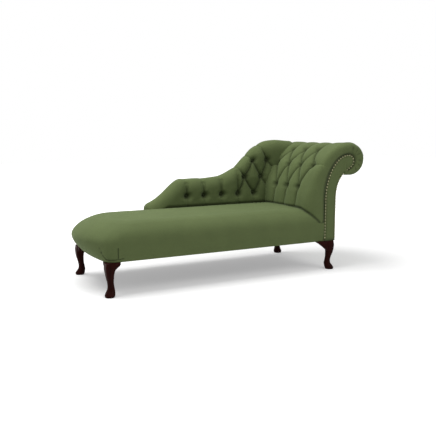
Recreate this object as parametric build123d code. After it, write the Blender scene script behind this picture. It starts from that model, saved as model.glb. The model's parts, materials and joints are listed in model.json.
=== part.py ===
from build123d import *
import math
import os

# Chaise longue with a scrolled head end and a serpentine side back, in millimetres.
# X runs along the seat with the scroll at +X, Y runs across with the side back at +Y.
# The origin is on the floor, under the middle of the overall length and depth.

os.makedirs("parts", exist_ok=True)

# Seat
overall_length = 1841.0
seat_width = 636.0
leg_height = 188.0
seat_rise = 112.0
crown_rise = 96.0
crown_reach = 128.0
skirt_taper = 5.0
foot_bulge = 74.0
foot_bow = 28.0
foot_corner = 60.0
foot_bulge_bow = 95.0
foot_bulge_corner = 112.0
nose_reach = 165.0

# Scrolled head end
roll_overhang = 224.5
roll_radius = 99.0
roll_crest_drop = 14.0
scroll_radius = 43.0
scroll_set_back = 23.0
scroll_drop = 20.0
scroll_end_slope = 30.0
neck_width = 80.0
neck_rise = 268.0
neck_bend = 110.0
throat_bend = 95.0
head_pad_depth = 116.0
head_pad_spring_rise = 202.0
head_pad_round = 46.0
far_roll_round = 34.0

# Side back
side_back_setback = 463.0
side_pad_depth = 98.0
side_nose_length = 23.0
side_nose_rise = 244.0
side_nose_drop = 37.0
side_ramp_share = 0.25806
side_low_rise = 389.0
side_flat_share = 0.19468
side_crest_gap = 60.0
side_crest_set_back = 212.0
side_swan_bend = 0.57895
side_swan_top_bend = 0.50877
side_high_rise = 642.0
side_edge_round = 24.0
side_edge_wrap = 36.0
side_nose_lean = 0.5
side_sweep_slide = 0.8

# Timber
rail_thickness = 28.0
rail_depth = 100.0
post_thickness = 40.0
corner_post_size = 64.0
timber_corner = 40.0
stretcher_width = 45.0
stretcher_depth = 30.0
side_frame_thickness = 28.0
side_rail_depth = 90.0
upright_width = 42.0
stuffing_rail_depth = 30.0
stuffing_rail_rise = 184.0
middle_rail_rise = 357.0
middle_rail_depth = 60.0
dowel_diameter = 10.0
dowel_flutes = 8
dowel_length = 34.0
dowel_spacing = 50.0

# Cloth, webbing and stuffing
cover_thickness = 3.0
board_thickness = 3.0
rail_padding = 8.0
webbing_width = 50.0
webbing_thickness = 2.0
webbing_gap = 45.0
hessian_thickness = 1.0
hessian_margin = 10.0
dust_cloth_thickness = 1.0
dust_cloth_margin = 6.0
soft_gap = 0.3
fit_gap = 0.5

# Legs
foot_set_back_head = 23.8
foot_set_back_foot = 33.3
foot_set_back_side = 14.0
foot_diameter = 52.0
foot_pad_height = 18.0
ankle_thickness = 31.0
ankle_height = 64.0
ankle_set_in = 5.0
shin_thickness = 39.0
shin_height = 118.0
knee_size = 56.0
knee_height = 34.0
knee_set_in = 10.0
ear_length = 48.0
ear_depth = 38.0
ear_tip_depth = 7.0
ear_thickness = 30.0
leg_screw_diameter = 8.0
leg_screw_length = 80.0
leg_screw_set_in = 18.0

# Buttons and nails
button_diameter = 23.0
button_thickness = 8.0
button_taper = 20.0
button_sides = 10
pocket_depth = 26.0
pocket_flare = 17.0
button_share = 0.210692
button_shift = 6.5
head_top_row = 0.887324
head_middle_row = 0.650235
head_low_row = 0.335681
side_button_share = 0.148274
side_top_share = 0.13356
side_low_row = 0.714653
side_middle_row = 0.605919
side_top_row = 0.771028
side_low_start = 0.312394
side_middle_start = 0.821732
side_top_start = 0.890775

# Planes and lines that several pieces share
quarter = 90
half_width = seat_width / 2
side_high_height = leg_height + side_high_rise
side_low_height = leg_height + side_low_rise
side_nose_height = leg_height + side_nose_rise
roll_top = side_high_height - roll_crest_drop
roll_height = roll_top - roll_radius
neck_height = leg_height + neck_rise
head_pad_spring = leg_height + head_pad_spring_rise
head_end = overall_length / 2 - roll_overhang
foot_end = foot_bulge - overall_length / 2
neck_inner = head_end - neck_width
neck_middle = head_end - neck_width / 2
roll_x = overall_length / 2 - roll_radius
scroll_x = roll_x - scroll_set_back
scroll_z = roll_height - scroll_drop
pad_front = neck_inner - head_pad_depth
pad_base = leg_height + seat_rise
side_start = foot_end + side_back_setback
side_length = pad_front - side_start
side_ramp_length = side_ramp_share * side_length
side_flat_length = side_flat_share * side_length
crest_end = roll_x - side_crest_gap
rail_top = leg_height + rail_depth
rail_face = half_width - skirt_taper - rail_padding
post_face = half_width - skirt_taper
facing_face = post_face + board_thickness + cover_thickness
post_inner = post_face - post_thickness
seat_webbing_top = rail_top + 2 * webbing_thickness
seat_support = seat_webbing_top + hessian_thickness
side_support = post_face - side_frame_thickness - webbing_thickness - hessian_thickness
side_pad_face = post_face + cover_thickness - side_pad_depth
foot_x = {"foot": foot_end + foot_set_back_foot, "head": head_end - foot_set_back_head}
corner_back = foot_x["foot"] + knee_set_in + corner_post_size / 2
corner_inner = rail_face - corner_post_size


def block(x, y, z):
    """A block between two limits on each axis."""
    limits = (x, y, z)
    size = [high - low for low, high in limits]
    return Pos(*[(high + low) / 2 for low, high in limits]) * Box(*size)


def upright(outline, y_low, y_high):
    """A plate cut to a side-view outline and standing between two depths."""
    return Pos(0, y_high, 0) * extrude(Plane.XZ * outline, y_high - y_low)


def strip(x_low, x_high, z_low, z_high):
    """A rectangle in side view."""
    middle = Pos((x_low + x_high) / 2, (z_low + z_high) / 2)
    return middle * Rectangle(x_high - x_low, z_high - z_low)


def far_side(solid):
    """The same piece on the other side of the chaise."""
    return mirror(solid, Plane.XZ)


# Side-view outlines


def scroll_outline(grow=0.0):
    """The crook of the head end: straight neck, swept throat and round scroll, with its edge moved out."""
    slope = math.radians(scroll_end_slope)
    radius = scroll_radius + grow
    inner = neck_inner - grow
    outer = head_end + grow
    tip = (scroll_x + radius * math.sin(slope), scroll_z - radius * math.cos(slope))
    throat = (tip[0] - throat_bend * math.cos(slope), tip[1] - throat_bend * math.sin(slope))
    sweep_z = scroll_z + radius - neck_height
    edges = [
        Line((inner, leg_height), (inner, neck_height)),
        EllipticalCenterArc((scroll_x, neck_height), scroll_x - inner, sweep_z, quarter, arc_size=quarter),
        ThreePointArc((scroll_x, scroll_z + radius), (scroll_x + radius, scroll_z), tip),
        Bezier(tip, throat, (outer, neck_height + neck_bend), (outer, neck_height)),
        Polyline((outer, neck_height), (outer, leg_height), (inner, leg_height)),
    ]
    return make_face(Curve() + edges)


def head_pad_outline(grow=0.0):
    """The stuffed head end, from the seat over the roll to its underside, with its edge moved out."""
    front = pad_front - grow
    radius = roll_radius + grow
    crest = (roll_x, roll_height + radius)
    belly = (roll_x, roll_height - radius)
    edges = [
        Line((front, pad_base), (front, head_pad_spring)),
        EllipticalCenterArc(
            (roll_x, head_pad_spring), roll_x - front, crest[1] - head_pad_spring, quarter, arc_size=quarter
        ),
        ThreePointArc(crest, (roll_x + radius, roll_height), belly),
        Polyline(
            belly,
            (head_end, belly[1]),
            (neck_middle, neck_height),
            (neck_middle, pad_base),
            (front, pad_base),
        ),
    ]
    return make_face(Curve() + edges)


def side_outline(inset=0.0):
    """The serpentine side back: nose, ramp, low level, swan sweep and crest, with its edge moved in."""
    lean = side_nose_lean * inset
    nose = (side_start + side_nose_length + lean, side_nose_height - inset + lean / 4)
    chin = (side_start + inset, nose[1] - side_nose_drop)
    cheek = (chin[0] + 0.26 * (nose[0] - chin[0]), chin[1] + 0.62 * side_nose_drop)
    low = (side_start + side_nose_length + side_ramp_length, side_low_height - inset)
    rise = (low[0] + side_flat_length, low[1])
    crest = (roll_x - side_crest_set_back, side_high_height - inset)
    swan = crest[0] - rise[0]
    slide = side_sweep_slide * inset
    edges = [
        ThreePointArc(chin, cheek, nose),
        Bezier(
            nose,
            (nose[0] + 0.44 * side_ramp_length, nose[1] + side_nose_drop),
            (low[0] - 0.34 * side_ramp_length, low[1]),
            low,
        ),
        Line(low, rise),
        Bezier(
            rise,
            (rise[0] + side_swan_bend * swan + slide, rise[1]),
            (crest[0] - side_swan_top_bend * swan + slide, crest[1]),
            crest,
        ),
        Polyline(crest, (roll_x, roll_top - inset), (roll_x, leg_height), (chin[0], leg_height), chin),
    ]
    return make_face(Curve() + edges)


def roll_disc(gap):
    """The full round of the padded roll."""
    return Pos(roll_x, roll_height) * Circle(roll_radius + gap)


# Seat


def seat_ring(height, half, front, bow, corner, back):
    """One level of the seat in plan: straight sides, bowed foot end and round corners."""
    near = (front + bow, -half)
    far = (front + bow, half)
    edges = [
        Line((back, -half), near),
        ThreePointArc(near, (front, 0), far),
        Line(far, (back, half)),
        Line((back, half), (back, -half)),
    ]
    ring = make_face(Curve() + edges)
    return Pos(0, 0, height) * fillet(ring.vertices().sort_by(Axis.X)[:2], corner)


def seat_body(inset):
    """The stuffed seat: tapered skirt, bull-nosed foot end and crowned top."""
    back = neck_inner - soft_gap
    rings = []
    for share in (0.0, 0.3, 0.65, 1.0):
        swell = math.sin(share * math.pi / 2)
        half = half_width - skirt_taper * (1 - swell) - inset
        front = foot_end - foot_bulge * swell + inset
        bow = foot_bow + (foot_bulge_bow - foot_bow) * swell
        corner = foot_corner + (foot_bulge_corner - foot_corner) * swell
        rings.append(seat_ring(leg_height + share * seat_rise, half, front, bow, corner, back))
    for angle in (28, 52, 70, 84):
        turn = math.radians(angle)
        half = half_width - crown_reach * (1 - math.cos(turn)) - inset
        front = foot_end - foot_bulge + nose_reach * (1 - math.cos(turn)) + inset
        height = pad_base + (crown_rise - inset) * math.sin(turn)
        rings.append(seat_ring(height, half, front, foot_bulge_bow, foot_bulge_corner, back))
    return loft(rings)


def seat_room():
    """What the seat gives up to the side back and to the head pad."""
    beside = block(
        (side_start - soft_gap, overall_length),
        (side_pad_face - soft_gap, seat_width),
        (0, overall_length),
    )
    head = block(
        (pad_front - soft_gap, overall_length),
        (-seat_width, seat_width),
        (pad_base - soft_gap, overall_length),
    )
    return beside + head


def base_solid(inset, low, high):
    """The timber base's outline as a solid between two heights."""
    plan = seat_ring(low, rail_face - inset, foot_end + rail_padding + inset, foot_bow, timber_corner, head_end)
    return extrude(plan, high - low)


def seat_pieces():
    shape = seat_body(0)
    core = seat_body(cover_thickness)
    room = seat_room()
    inside = block((-overall_length, neck_inner), (-half_width, half_width), (0, seat_support))
    frame = base_solid(0, leg_height - 1, seat_support) & inside
    foam = core - room - frame
    return {"seat_cover": shape - core - room, "seat_foam": foam}


# Timber base


def corner_post():
    """A foot end corner post, rounded to the seat's corner."""
    reach = block(
        (-overall_length, corner_back),
        (-half_width, -corner_inner),
        (leg_height, rail_top),
    )
    return base_solid(0, leg_height, rail_top) & reach


def foot_rail():
    ring = base_solid(0, leg_height, rail_top) - base_solid(rail_thickness, leg_height, rail_top)
    return ring & block((-overall_length, corner_back), (-corner_inner, corner_inner), (leg_height, rail_top))


def long_rail():
    return block((corner_back, neck_inner), (-rail_face, rail_thickness - rail_face), (leg_height, rail_top))


def cross_rails():
    room = rail_face - rail_thickness
    low = leg_height + stretcher_depth
    bars = []
    for share in (1 / 3, 2 / 3):
        x = corner_back + share * (neck_inner - corner_back)
        half = stretcher_width / 2
        bars.append(block((x - half, x + half), (-room, room), (low, low + stretcher_depth)))
    return bars


def head_rail():
    return block((head_end - rail_thickness, head_end), (-post_inner, post_inner), (leg_height, rail_top))


def neck_rail(low, high):
    """A rail between the scroll posts, shaped to the inner edge of the crook."""
    outline = scroll_outline()
    band = (outline & strip(neck_inner, roll_x, low, high)) - Pos(rail_thickness, 0) * outline
    return upright(band, -post_inner, post_inner)


def scroll_post():
    return upright(scroll_outline(), -post_face, -post_inner)


def dowel_pairs():
    """Dowels of the base joints, two to a joint."""
    lift = leg_height + rail_depth / 2
    along_x = []
    along_y = []
    for side in (-1, 1):
        rail_middle = side * (rail_face - rail_thickness / 2)
        along_x += [(corner_back, rail_middle), (neck_inner, rail_middle)]
        along_y.append((foot_end + rail_padding + foot_bow / 2 + rail_thickness / 2, side * corner_inner))
        along_y.append((head_end - rail_thickness / 2, side * post_inner))
    solids = []
    for turn, places in ((Rot(0, 90, 0), along_x), (Rot(90, 0, 0), along_y)):
        for x, y in places:
            for step in (-0.5, 0.5):
                peg = turn * extrude(RegularPolygon(dowel_diameter / 2, dowel_flutes), dowel_length / 2, both=True)
                solids.append(Pos(x, y, lift + step * dowel_spacing) * peg)
    return solids


# Side back frame


def side_limits(face):
    """A side back outline kept clear of the scroll post and of the padded roll."""
    reach = strip(side_start, crest_end, 0, overall_length)
    return (face & reach) - below_scroll() - scroll_outline() - roll_disc(soft_gap)


def below_scroll():
    """Everything beyond the neck, under the roll."""
    return strip(neck_middle, overall_length, 0, roll_height)


def under_top_rail():
    return Pos(0, -side_rail_depth) * side_outline(side_edge_wrap)


def side_top_rail():
    band = side_limits(side_outline(side_edge_wrap) - under_top_rail())
    return upright(band, post_face - side_frame_thickness, post_face)


def upright_places():
    first = side_start + side_edge_wrap
    last = neck_inner - upright_width
    return [first + share * (last - first) for share in (0, 1 / 3, 2 / 3, 1)]


def side_upright(x):
    post = strip(x, x + upright_width, rail_top, overall_length) & under_top_rail()
    return upright(side_limits(post), post_face - side_frame_thickness, post_face)


def side_stuffing_rails():
    places = upright_places()
    low = leg_height + stuffing_rail_rise
    level = (low, low + stuffing_rail_depth)
    bars = []
    for left, right in zip(places, places[1:]):
        bay = side_limits(strip(left + upright_width, right, *level) & under_top_rail())
        bars.append(upright(bay, post_face - side_frame_thickness, post_face))
    return bars


# Webbing, hessian and dust cloth


def spaced(low, high, width, gap):
    """Evenly spread starts of strips between two limits, about a gap apart."""
    count = max(2, int((high - low + gap) // (width + gap)))
    step = (high - low - width) / (count - 1)
    return [low + i * step for i in range(count)]


def seat_webbing():
    side = rail_face - hessian_margin
    front = corner_back + hessian_margin
    back = neck_inner - soft_gap
    low = (rail_top, rail_top + webbing_thickness)
    high = (low[1], seat_webbing_top)
    across = [
        block((x, x + webbing_width), (-side, side_support - soft_gap), low)
        for x in spaced(front, back, webbing_width, 2 * webbing_gap)
    ]
    room = corner_inner - soft_gap
    plan = base_solid(hessian_margin, *high)
    along = [
        plan & block((-overall_length, back), (y, y + webbing_width), high)
        for y in spaced(-room, room, webbing_width, 2 * webbing_gap)
    ]
    return across, along


def seat_hessian():
    sheet = base_solid(hessian_margin, seat_webbing_top, seat_support)
    return sheet & block((-overall_length, neck_inner - soft_gap), (-half_width, side_support), (0, seat_support))


def dust_cover():
    sheet = base_solid(dust_cloth_margin, leg_height - dust_cloth_thickness, leg_height)
    for x, y, outward_x, outward_y in foot_places():
        for solid in leg_shadow():
            sheet -= placed(solid, x, y, outward_x, outward_y)
    return sheet


def leg_shadow():
    """The room that a leg's head and its ears take under the rails."""
    inner = -knee_set_in - knee_size / 2
    outer = knee_size
    ear = inner - ear_length - fit_gap
    level = (leg_height - knee_height, leg_height + 1)
    across = ear_inner() - fit_gap
    return [
        block((inner - fit_gap, outer), (inner - fit_gap, outer), level),
        block((ear, outer), (across, outer), level),
        block((across, outer), (ear, outer), level),
    ]


# Head end


def inner_band(start, thickness, low):
    """A layer laid on the inner edge of the crook and round over its scroll."""
    layer = scroll_outline(start + thickness) - scroll_outline(start)
    outer_edge = Pos(2 * (start + thickness), -2 * (start + thickness)) * scroll_outline(start)
    return (layer - outer_edge) & strip(pad_front, scroll_x, low, roll_top)


def head_webbing():
    band = inner_band(0, webbing_thickness, pad_base + stuffing_rail_depth / 2)
    return [
        upright(band, y, y + webbing_width)
        for y in spaced(-post_inner + webbing_gap, post_inner - webbing_gap, webbing_width, webbing_gap)
    ]


def head_hessian():
    band = inner_band(webbing_thickness, hessian_thickness, pad_base)
    return upright(band, hessian_margin - post_inner, post_inner - hessian_margin)


def head_padding():
    """The stuffed head end: rounded near edge, a roll over the whole depth, and button pockets."""
    sweep = upright(head_pad_outline(), -facing_face, side_support - soft_gap)
    sweep = fillet(outer_edges(sweep, -facing_face), head_pad_round)
    roll = upright(roll_disc(0), 0, post_face + cover_thickness)
    roll = fillet(roll.edges().filter_by(GeomType.CIRCLE).sort_by(Axis.Y)[-1], far_roll_round)
    bed = scroll_outline(webbing_thickness + hessian_thickness + soft_gap) + beyond_throat()
    solid = sweep + roll - upright(bed, -2 * half_width, 2 * half_width)
    for plane in head_button_planes():
        solid -= pocket(plane)
    return solid


def beyond_throat():
    """Everything behind the scroll, under the roll."""
    return strip(neck_middle, overall_length, 0, roll_height - roll_radius)


def outer_edges(solid, y):
    """The outer curved edges of a head pad at one depth."""
    rim = solid.edges().filter_by_position(Axis.Y, y - 0.01, y + 0.01)
    return [
        e for e in rim
        if e.center().X < pad_front + cover_thickness + 1
        or e.geom_type in (GeomType.ELLIPSE, GeomType.CIRCLE)
    ]


def head_button_planes():
    """Where each head button sits: on the pad's face, square to it."""
    reach = roll_x - pad_front
    rise = roll_top - head_pad_spring
    planes = []
    spacing = button_share * seat_width
    for share, count in ((head_top_row, 3), (head_middle_row, 4), (head_low_row, 3)):
        turn = math.asin(share)
        face = (roll_x - reach * math.cos(turn), head_pad_spring + share * rise)
        outward = Vector(-math.cos(turn) / reach, 0, math.sin(turn) / rise)
        for i in range(count):
            y = button_shift + (i - (count - 1) / 2) * spacing
            planes.append(Plane(origin=(face[0], y, face[1]), z_dir=outward))
    return planes


def side_button_planes():
    """Where each side back button sits on the pad's inner face."""
    rows = (
        (side_low_row * side_low_rise, side_low_start, side_button_share, 5),
        (side_middle_row * side_high_rise, side_middle_start, side_button_share, 2),
        (side_top_row * side_high_rise, side_top_start, side_top_share, 2),
    )
    return [
        Plane(
            origin=(side_start + (first + i * step) * side_length, side_pad_face, leg_height + rise),
            z_dir=(0, -1, 0),
        )
        for rise, first, step, count in rows
        for i in range(count)
    ]


def pocket(plane):
    """The dimple that a button pulls into a pad, let into its face."""
    floor = button_diameter / 2 + fit_gap
    mouth = floor + pocket_flare
    rings = [
        RegularPolygon(floor, button_sides, major_radius=False),
        Pos(0, 0, pocket_depth) * RegularPolygon(mouth, button_sides, major_radius=False),
    ]
    return plane * Pos(0, 0, -pocket_depth) * loft(rings, ruled=True)


def button(plane):
    disc = extrude(RegularPolygon(button_diameter / 2, button_sides), button_thickness, taper=button_taper)
    return plane * Pos(0, 0, -pocket_depth) * disc


def head_outside_cover():
    grown = scroll_outline(cover_thickness) - scroll_outline()
    band = grown & strip(head_end - neck_width / 4, overall_length, leg_height, roll_height - roll_radius)
    return upright(band, -post_face, post_face)


# Side back


def side_padding():
    """The side back pad, rolled over its frame and stopped by the head pad."""
    far = post_face + cover_thickness
    solid = upright(side_outline(), side_pad_face, far)
    solid = fillet([e for e in solid.edges() if is_top_edge(e, far)], side_edge_round)
    solid -= block((-overall_length, overall_length), (0, 2 * half_width), (0, seat_support))
    solid -= upright(beyond_side(), 0, 2 * half_width)
    solid -= upright(side_outline(side_edge_wrap), side_support - soft_gap, 2 * half_width)
    solid -= upright(grown_pad(), -2 * half_width, 2 * half_width)
    for plane in side_button_planes():
        solid -= pocket(plane)
    return solid


def beyond_side():
    """Where the side back gives way to the crook and to the thin end of its crest."""
    end = strip(crest_end, overall_length, 0, 2 * roll_top)
    return end + below_scroll() + scroll_outline(soft_gap)


def grown_pad():
    """The head pad's outline with the gap that its neighbours keep."""
    return head_pad_outline(soft_gap) + roll_disc(soft_gap)


def is_top_edge(edge, far):
    """Whether an edge is one of the side pad's long top edges."""
    y = edge.center().Y
    on_face = min(abs(y - far), abs(y - side_pad_face)) < 0.01
    flat = abs(edge.tangent_at(0.5).Z) > 0.999
    return on_face and not flat and edge.center().Z > side_nose_height - side_nose_drop


def side_webbing():
    under = Pos(0, -side_rail_depth / 3) * side_outline(side_edge_wrap)
    strips = []
    for x in spaced(side_start + side_edge_wrap, neck_inner, webbing_width, 2 * webbing_gap):
        face = strip(x, x + webbing_width, leg_height + stuffing_rail_rise, overall_length) & under
        inner = side_support + hessian_thickness
        strips.append(upright(side_limits(face), inner, inner + webbing_thickness))
    return strips


def side_hessian():
    under = Pos(0, -side_rail_depth / 4) * side_outline(side_edge_wrap)
    face = strip(side_start + side_edge_wrap, neck_inner, leg_height + stuffing_rail_rise, overall_length) & under
    return upright(side_limits(face), side_support, side_support + hessian_thickness)


def back_outline():
    """The flat outside back: the sunk side back joined to the crook."""
    face = side_outline(side_edge_wrap) & strip(side_start, crest_end, leg_height, overall_length)
    hollow = Pos(scroll_x, neck_height) * Ellipse(scroll_x - neck_middle, scroll_z - neck_height)
    hollow += strip(neck_middle, overall_length, 0, neck_height)
    end = strip(side_start, side_start + 2 * side_edge_wrap, leg_height, seat_support - soft_gap)
    return face - hollow - roll_disc(soft_gap) + end + scroll_outline()


# Legs


def foot_places():
    for toward_x, x in ((-1, foot_x["foot"]), (1, foot_x["head"])):
        for toward_y in (-1, 1):
            yield x, toward_y * (half_width - foot_set_back_side), toward_x, toward_y


def placed(solid, x, y, outward_x, outward_y):
    """Turns a piece drawn with its outward corner at +X +Y to its own corner of the chaise."""
    if outward_x < 0:
        solid = mirror(solid, Plane.YZ)
    if outward_y < 0:
        solid = mirror(solid, Plane.XZ)
    return Pos(x, y, 0) * solid


def leg_level(height, size, set_in, softness):
    """A level of the leg: softness runs from a square edge at 0 to a full round at 1."""
    return Pos(-set_in, -set_in, height) * RectangleRounded(size, size, 0.499 * size * softness)


def cabriole_leg():
    """A leg that steps out at the knee, in at the ankle and out again to a pad foot."""
    knee = leg_height - knee_height
    levels = [
        leg_level(0, 0.78 * foot_diameter, 0, 1),
        leg_level(0.22 * foot_pad_height, 0.94 * foot_diameter, 0, 1),
        leg_level(0.7 * foot_pad_height, foot_diameter, 0, 1),
        leg_level(1.4 * foot_pad_height, 0.85 * foot_diameter, 0.2 * ankle_set_in, 1),
        leg_level(0.65 * ankle_height, 1.12 * ankle_thickness, 0.7 * ankle_set_in, 0.95),
        leg_level(ankle_height, ankle_thickness, ankle_set_in, 0.85),
        leg_level((ankle_height + shin_height) / 2, (ankle_thickness + shin_thickness) / 2, ankle_set_in, 0.75),
        leg_level(shin_height, shin_thickness, ankle_set_in, 0.65),
        leg_level(knee, 0.87 * knee_size, 0.8 * knee_set_in, 0.45),
        leg_level(leg_height - 0.35 * knee_height, knee_size, knee_set_in, 0.3),
        leg_level(leg_height, knee_size, knee_set_in, 0.25),
    ]
    return loft(levels)


def ear_inner():
    """The inner face of the ears, measured from the foot's centre."""
    return knee_size / 2 - knee_set_in - ear_thickness - fit_gap


def leg_ears(leg):
    """Two ears glued beside the knee, swept up along the rails."""
    start = -knee_set_in
    tip = -knee_set_in - knee_size / 2 - ear_length
    root = -knee_set_in - knee_size / 2
    top = leg_height
    bend = (root - 0.42 * ear_length, top - ear_tip_depth - 0.2 * (ear_depth - ear_tip_depth))
    edges = [
        Line((start, top), (tip, top)),
        Line((tip, top), (tip, top - ear_tip_depth)),
        ThreePointArc((tip, top - ear_tip_depth), bend, (root, top - ear_depth)),
        Polyline((root, top - ear_depth), (start, top - ear_depth), (start, top)),
    ]
    outer = knee_size / 2 - knee_set_in - fit_gap
    along_x = upright(make_face(Curve() + edges), outer - ear_thickness, outer)
    along_y = mirror(along_x, Plane((0, 0, 0), x_dir=(0, 0, 1), z_dir=(1, -1, 0)))
    return [along_x - leg, along_y - leg]


def leg_screw():
    screw = Cylinder(leg_screw_diameter / 2, leg_screw_length)
    return Pos(-leg_screw_set_in, -leg_screw_set_in, leg_height) * screw


# Write every sub-part


def write(name, *solids):
    shape = solids[0] if len(solids) == 1 else Compound(children=list(solids))
    export_step(shape, f"parts/{name}.step")


def drilled(solid, pegs):
    for peg in pegs:
        solid -= peg
    return solid


def main():
    dowels = dowel_pairs()
    leg = cabriole_leg()
    ears = leg_ears(leg)
    screw = leg_screw()
    screws = [placed(screw, *place) for place in foot_places()]
    pegs = dowels + screws

    write("seat_rail_near", drilled(long_rail(), dowels))
    write("seat_rail_far", drilled(far_side(long_rail()), dowels))
    write("seat_rail_foot", drilled(foot_rail(), dowels))
    write("seat_rail_head", drilled(head_rail(), dowels))
    write("corner_post_near", drilled(corner_post(), pegs))
    write("corner_post_far", drilled(far_side(corner_post()), pegs))
    write("seat_cross_rails", *cross_rails())
    write("scroll_post_near", drilled(scroll_post(), pegs))
    write("scroll_post_far", drilled(far_side(scroll_post()), pegs))
    write("frame_dowels", *dowels)

    scroll_rail = Pos(scroll_x, scroll_z) * Circle(scroll_radius)
    write("head_scroll_rail", upright(scroll_rail, -post_inner, post_inner))
    middle = leg_height + middle_rail_rise
    write("head_middle_rail", neck_rail(middle, middle + middle_rail_depth))
    write("head_stuffing_rail", neck_rail(pad_base, pad_base + middle_rail_depth))

    write("side_top_rail", side_top_rail())
    places = upright_places()
    write("side_end_post", side_upright(places[0]))
    write("side_posts", *[side_upright(x) for x in places[1:-1]])
    write("side_back_post", side_upright(places[-1]))
    write("side_stuffing_rails", *side_stuffing_rails())

    for (x, y, outward_x, outward_y), screw_there in zip(foot_places(), screws):
        name = f"{'near' if outward_y < 0 else 'far'}_{'foot' if outward_x < 0 else 'head'}"
        write(f"leg_{name}", placed(leg, x, y, outward_x, outward_y) - screw_there)
        write(f"leg_ears_{name}", *[placed(ear, x, y, outward_x, outward_y) for ear in ears])
    write("leg_screws", *screws)

    across, along = seat_webbing()
    write("seat_webbing_cross", *across)
    write("seat_webbing_long", *along)
    write("seat_hessian", seat_hessian())
    for name, solid in seat_pieces().items():
        write(name, solid)
    write("dust_cover", dust_cover())

    write("head_webbing", *head_webbing())
    write("head_hessian", head_hessian())
    write("head_pad", head_padding())
    write("head_buttons", *[button(plane) for plane in head_button_planes()])
    write("head_outside_cover", head_outside_cover())

    write("side_webbing", *side_webbing())
    write("side_hessian", side_hessian())
    write("side_pad", side_padding())
    write("side_buttons", *[button(plane) for plane in side_button_planes()])

    crook = scroll_outline()
    write("facing_board_near", upright(crook, -post_face - board_thickness, -post_face))
    write("facing_cover_near", upright(crook, -facing_face, -post_face - board_thickness))
    back = back_outline()
    write("outside_back_lining", upright(back, post_face, post_face + board_thickness))
    write("outside_back_cover", upright(back, post_face + board_thickness, facing_face))


main()
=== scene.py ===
import bmesh
import bpy
import json
import math
import numpy as np
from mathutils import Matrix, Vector
from mathutils.geometry import delaunay_2d_cdt


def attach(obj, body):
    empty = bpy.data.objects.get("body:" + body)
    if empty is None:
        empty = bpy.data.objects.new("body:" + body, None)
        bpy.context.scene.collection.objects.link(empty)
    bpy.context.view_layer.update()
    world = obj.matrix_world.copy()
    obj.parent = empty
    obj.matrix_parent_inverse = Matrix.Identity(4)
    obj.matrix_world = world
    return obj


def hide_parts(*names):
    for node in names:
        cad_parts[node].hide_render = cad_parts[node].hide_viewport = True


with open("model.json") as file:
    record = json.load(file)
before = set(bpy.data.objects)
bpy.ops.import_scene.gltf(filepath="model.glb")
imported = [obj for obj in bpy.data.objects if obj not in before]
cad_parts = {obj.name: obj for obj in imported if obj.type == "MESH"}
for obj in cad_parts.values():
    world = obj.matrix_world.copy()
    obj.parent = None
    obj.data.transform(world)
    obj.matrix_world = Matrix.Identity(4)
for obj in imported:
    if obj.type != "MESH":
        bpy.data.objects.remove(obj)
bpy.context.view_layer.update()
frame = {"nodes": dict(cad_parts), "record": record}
print("frame loaded:", len(frame["nodes"]), "CAD pieces")

mm = 0.001

# small mesh helpers

def newObject(name, points, faces, material, smooth=True, uv=None):
    mesh = bpy.data.meshes.new(name)
    mesh.from_pydata([tuple(p) for p in np.asarray(points, float)], [], [list(f) for f in faces])
    mesh.update()
    if uv is not None:
        layer = mesh.uv_layers.new(name="cloth")
        corner = np.zeros(len(mesh.loops), np.int32)
        mesh.loops.foreach_get("vertex_index", corner)
        layer.data.foreach_set("uv", np.asarray(uv, np.float32)[corner].ravel())
    mesh.polygons.foreach_set("use_smooth", [smooth] * len(mesh.polygons))
    mesh.materials.append(material)
    piece = bpy.data.objects.new(name, mesh)
    bpy.context.scene.collection.objects.link(piece)
    return piece

def gridFaces(rows, columns, closedColumns=False, start=0):
    faces = []
    last = columns if closedColumns else columns - 1
    for i in range(rows - 1):
        for j in range(last):
            k = (j + 1) % columns
            faces.append((start + i * columns + j, start + i * columns + k,
                          start + (i + 1) * columns + k, start + (i + 1) * columns + j))
    return faces

def endFaces(rows, columns, start=0):
    # the first and the last ring, each closed by one face
    last = start + (rows - 1) * columns
    return [tuple(range(start, start + columns)), tuple(range(last + columns - 1, last - 1, -1))]

def closedFaces(rows, columns, start=0):
    # rings joined into a tube that is closed at both ends
    return gridFaces(rows, columns, True, start) + endFaces(rows, columns, start)

def addPaintedShade(piece, values):
    # painted shade: how far each point lies in a crease or crevice, which darkens the cloth's colour
    layer = piece.data.attributes.new("creaseAndPaintedShade", "FLOAT", "POINT")
    layer.data.foreach_set("value", np.asarray(values, np.float32).ravel())

def fixNormals(piece):
    bm = bmesh.new()
    bm.from_mesh(piece.data)
    bmesh.ops.recalc_face_normals(bm, faces=bm.faces)
    bm.to_mesh(piece.data)
    bm.free()

def gridNormals(grid):
    # grid is rows x columns x 3
    du = np.gradient(grid, axis=0)
    dv = np.gradient(grid, axis=1)
    n = np.cross(du, dv)
    size = np.linalg.norm(n, axis=2, keepdims=True)
    n = n / np.maximum(size, 1e-12)
    # points that lie on top of each other take the normal of their neighbours
    columns = np.arange(grid.shape[1])
    for row, good in zip(n, size[:, :, 0] > 1e-10):
        if good.any() and not good.all():
            for i in range(3):
                row[:, i] = np.interp(columns, columns[good], row[good, i])
    return n

def bezier(a, b, c, d, count):
    t = np.linspace(0, 1, count)[:, None]
    a, b, c, d = (np.array(p, float) for p in (a, b, c, d))
    return (1 - t) ** 3 * a + 3 * t * (1 - t) ** 2 * b + 3 * t * t * (1 - t) * c + t ** 3 * d

def arc(centre, rx, rz, start, end, count):
    t = np.radians(np.linspace(start, end, count))
    return np.stack([centre[0] + rx * np.cos(t), centre[1] + rz * np.sin(t)], 1)

def lineTo(a, b, count):
    t = np.linspace(0, 1, count)[:, None]
    return np.array(a, float) * (1 - t) + np.array(b, float) * t

def joined(*parts):
    out = [parts[0]]
    for p in parts[1:]:
        out.append(p[1:])
    return np.concatenate(out)

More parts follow.
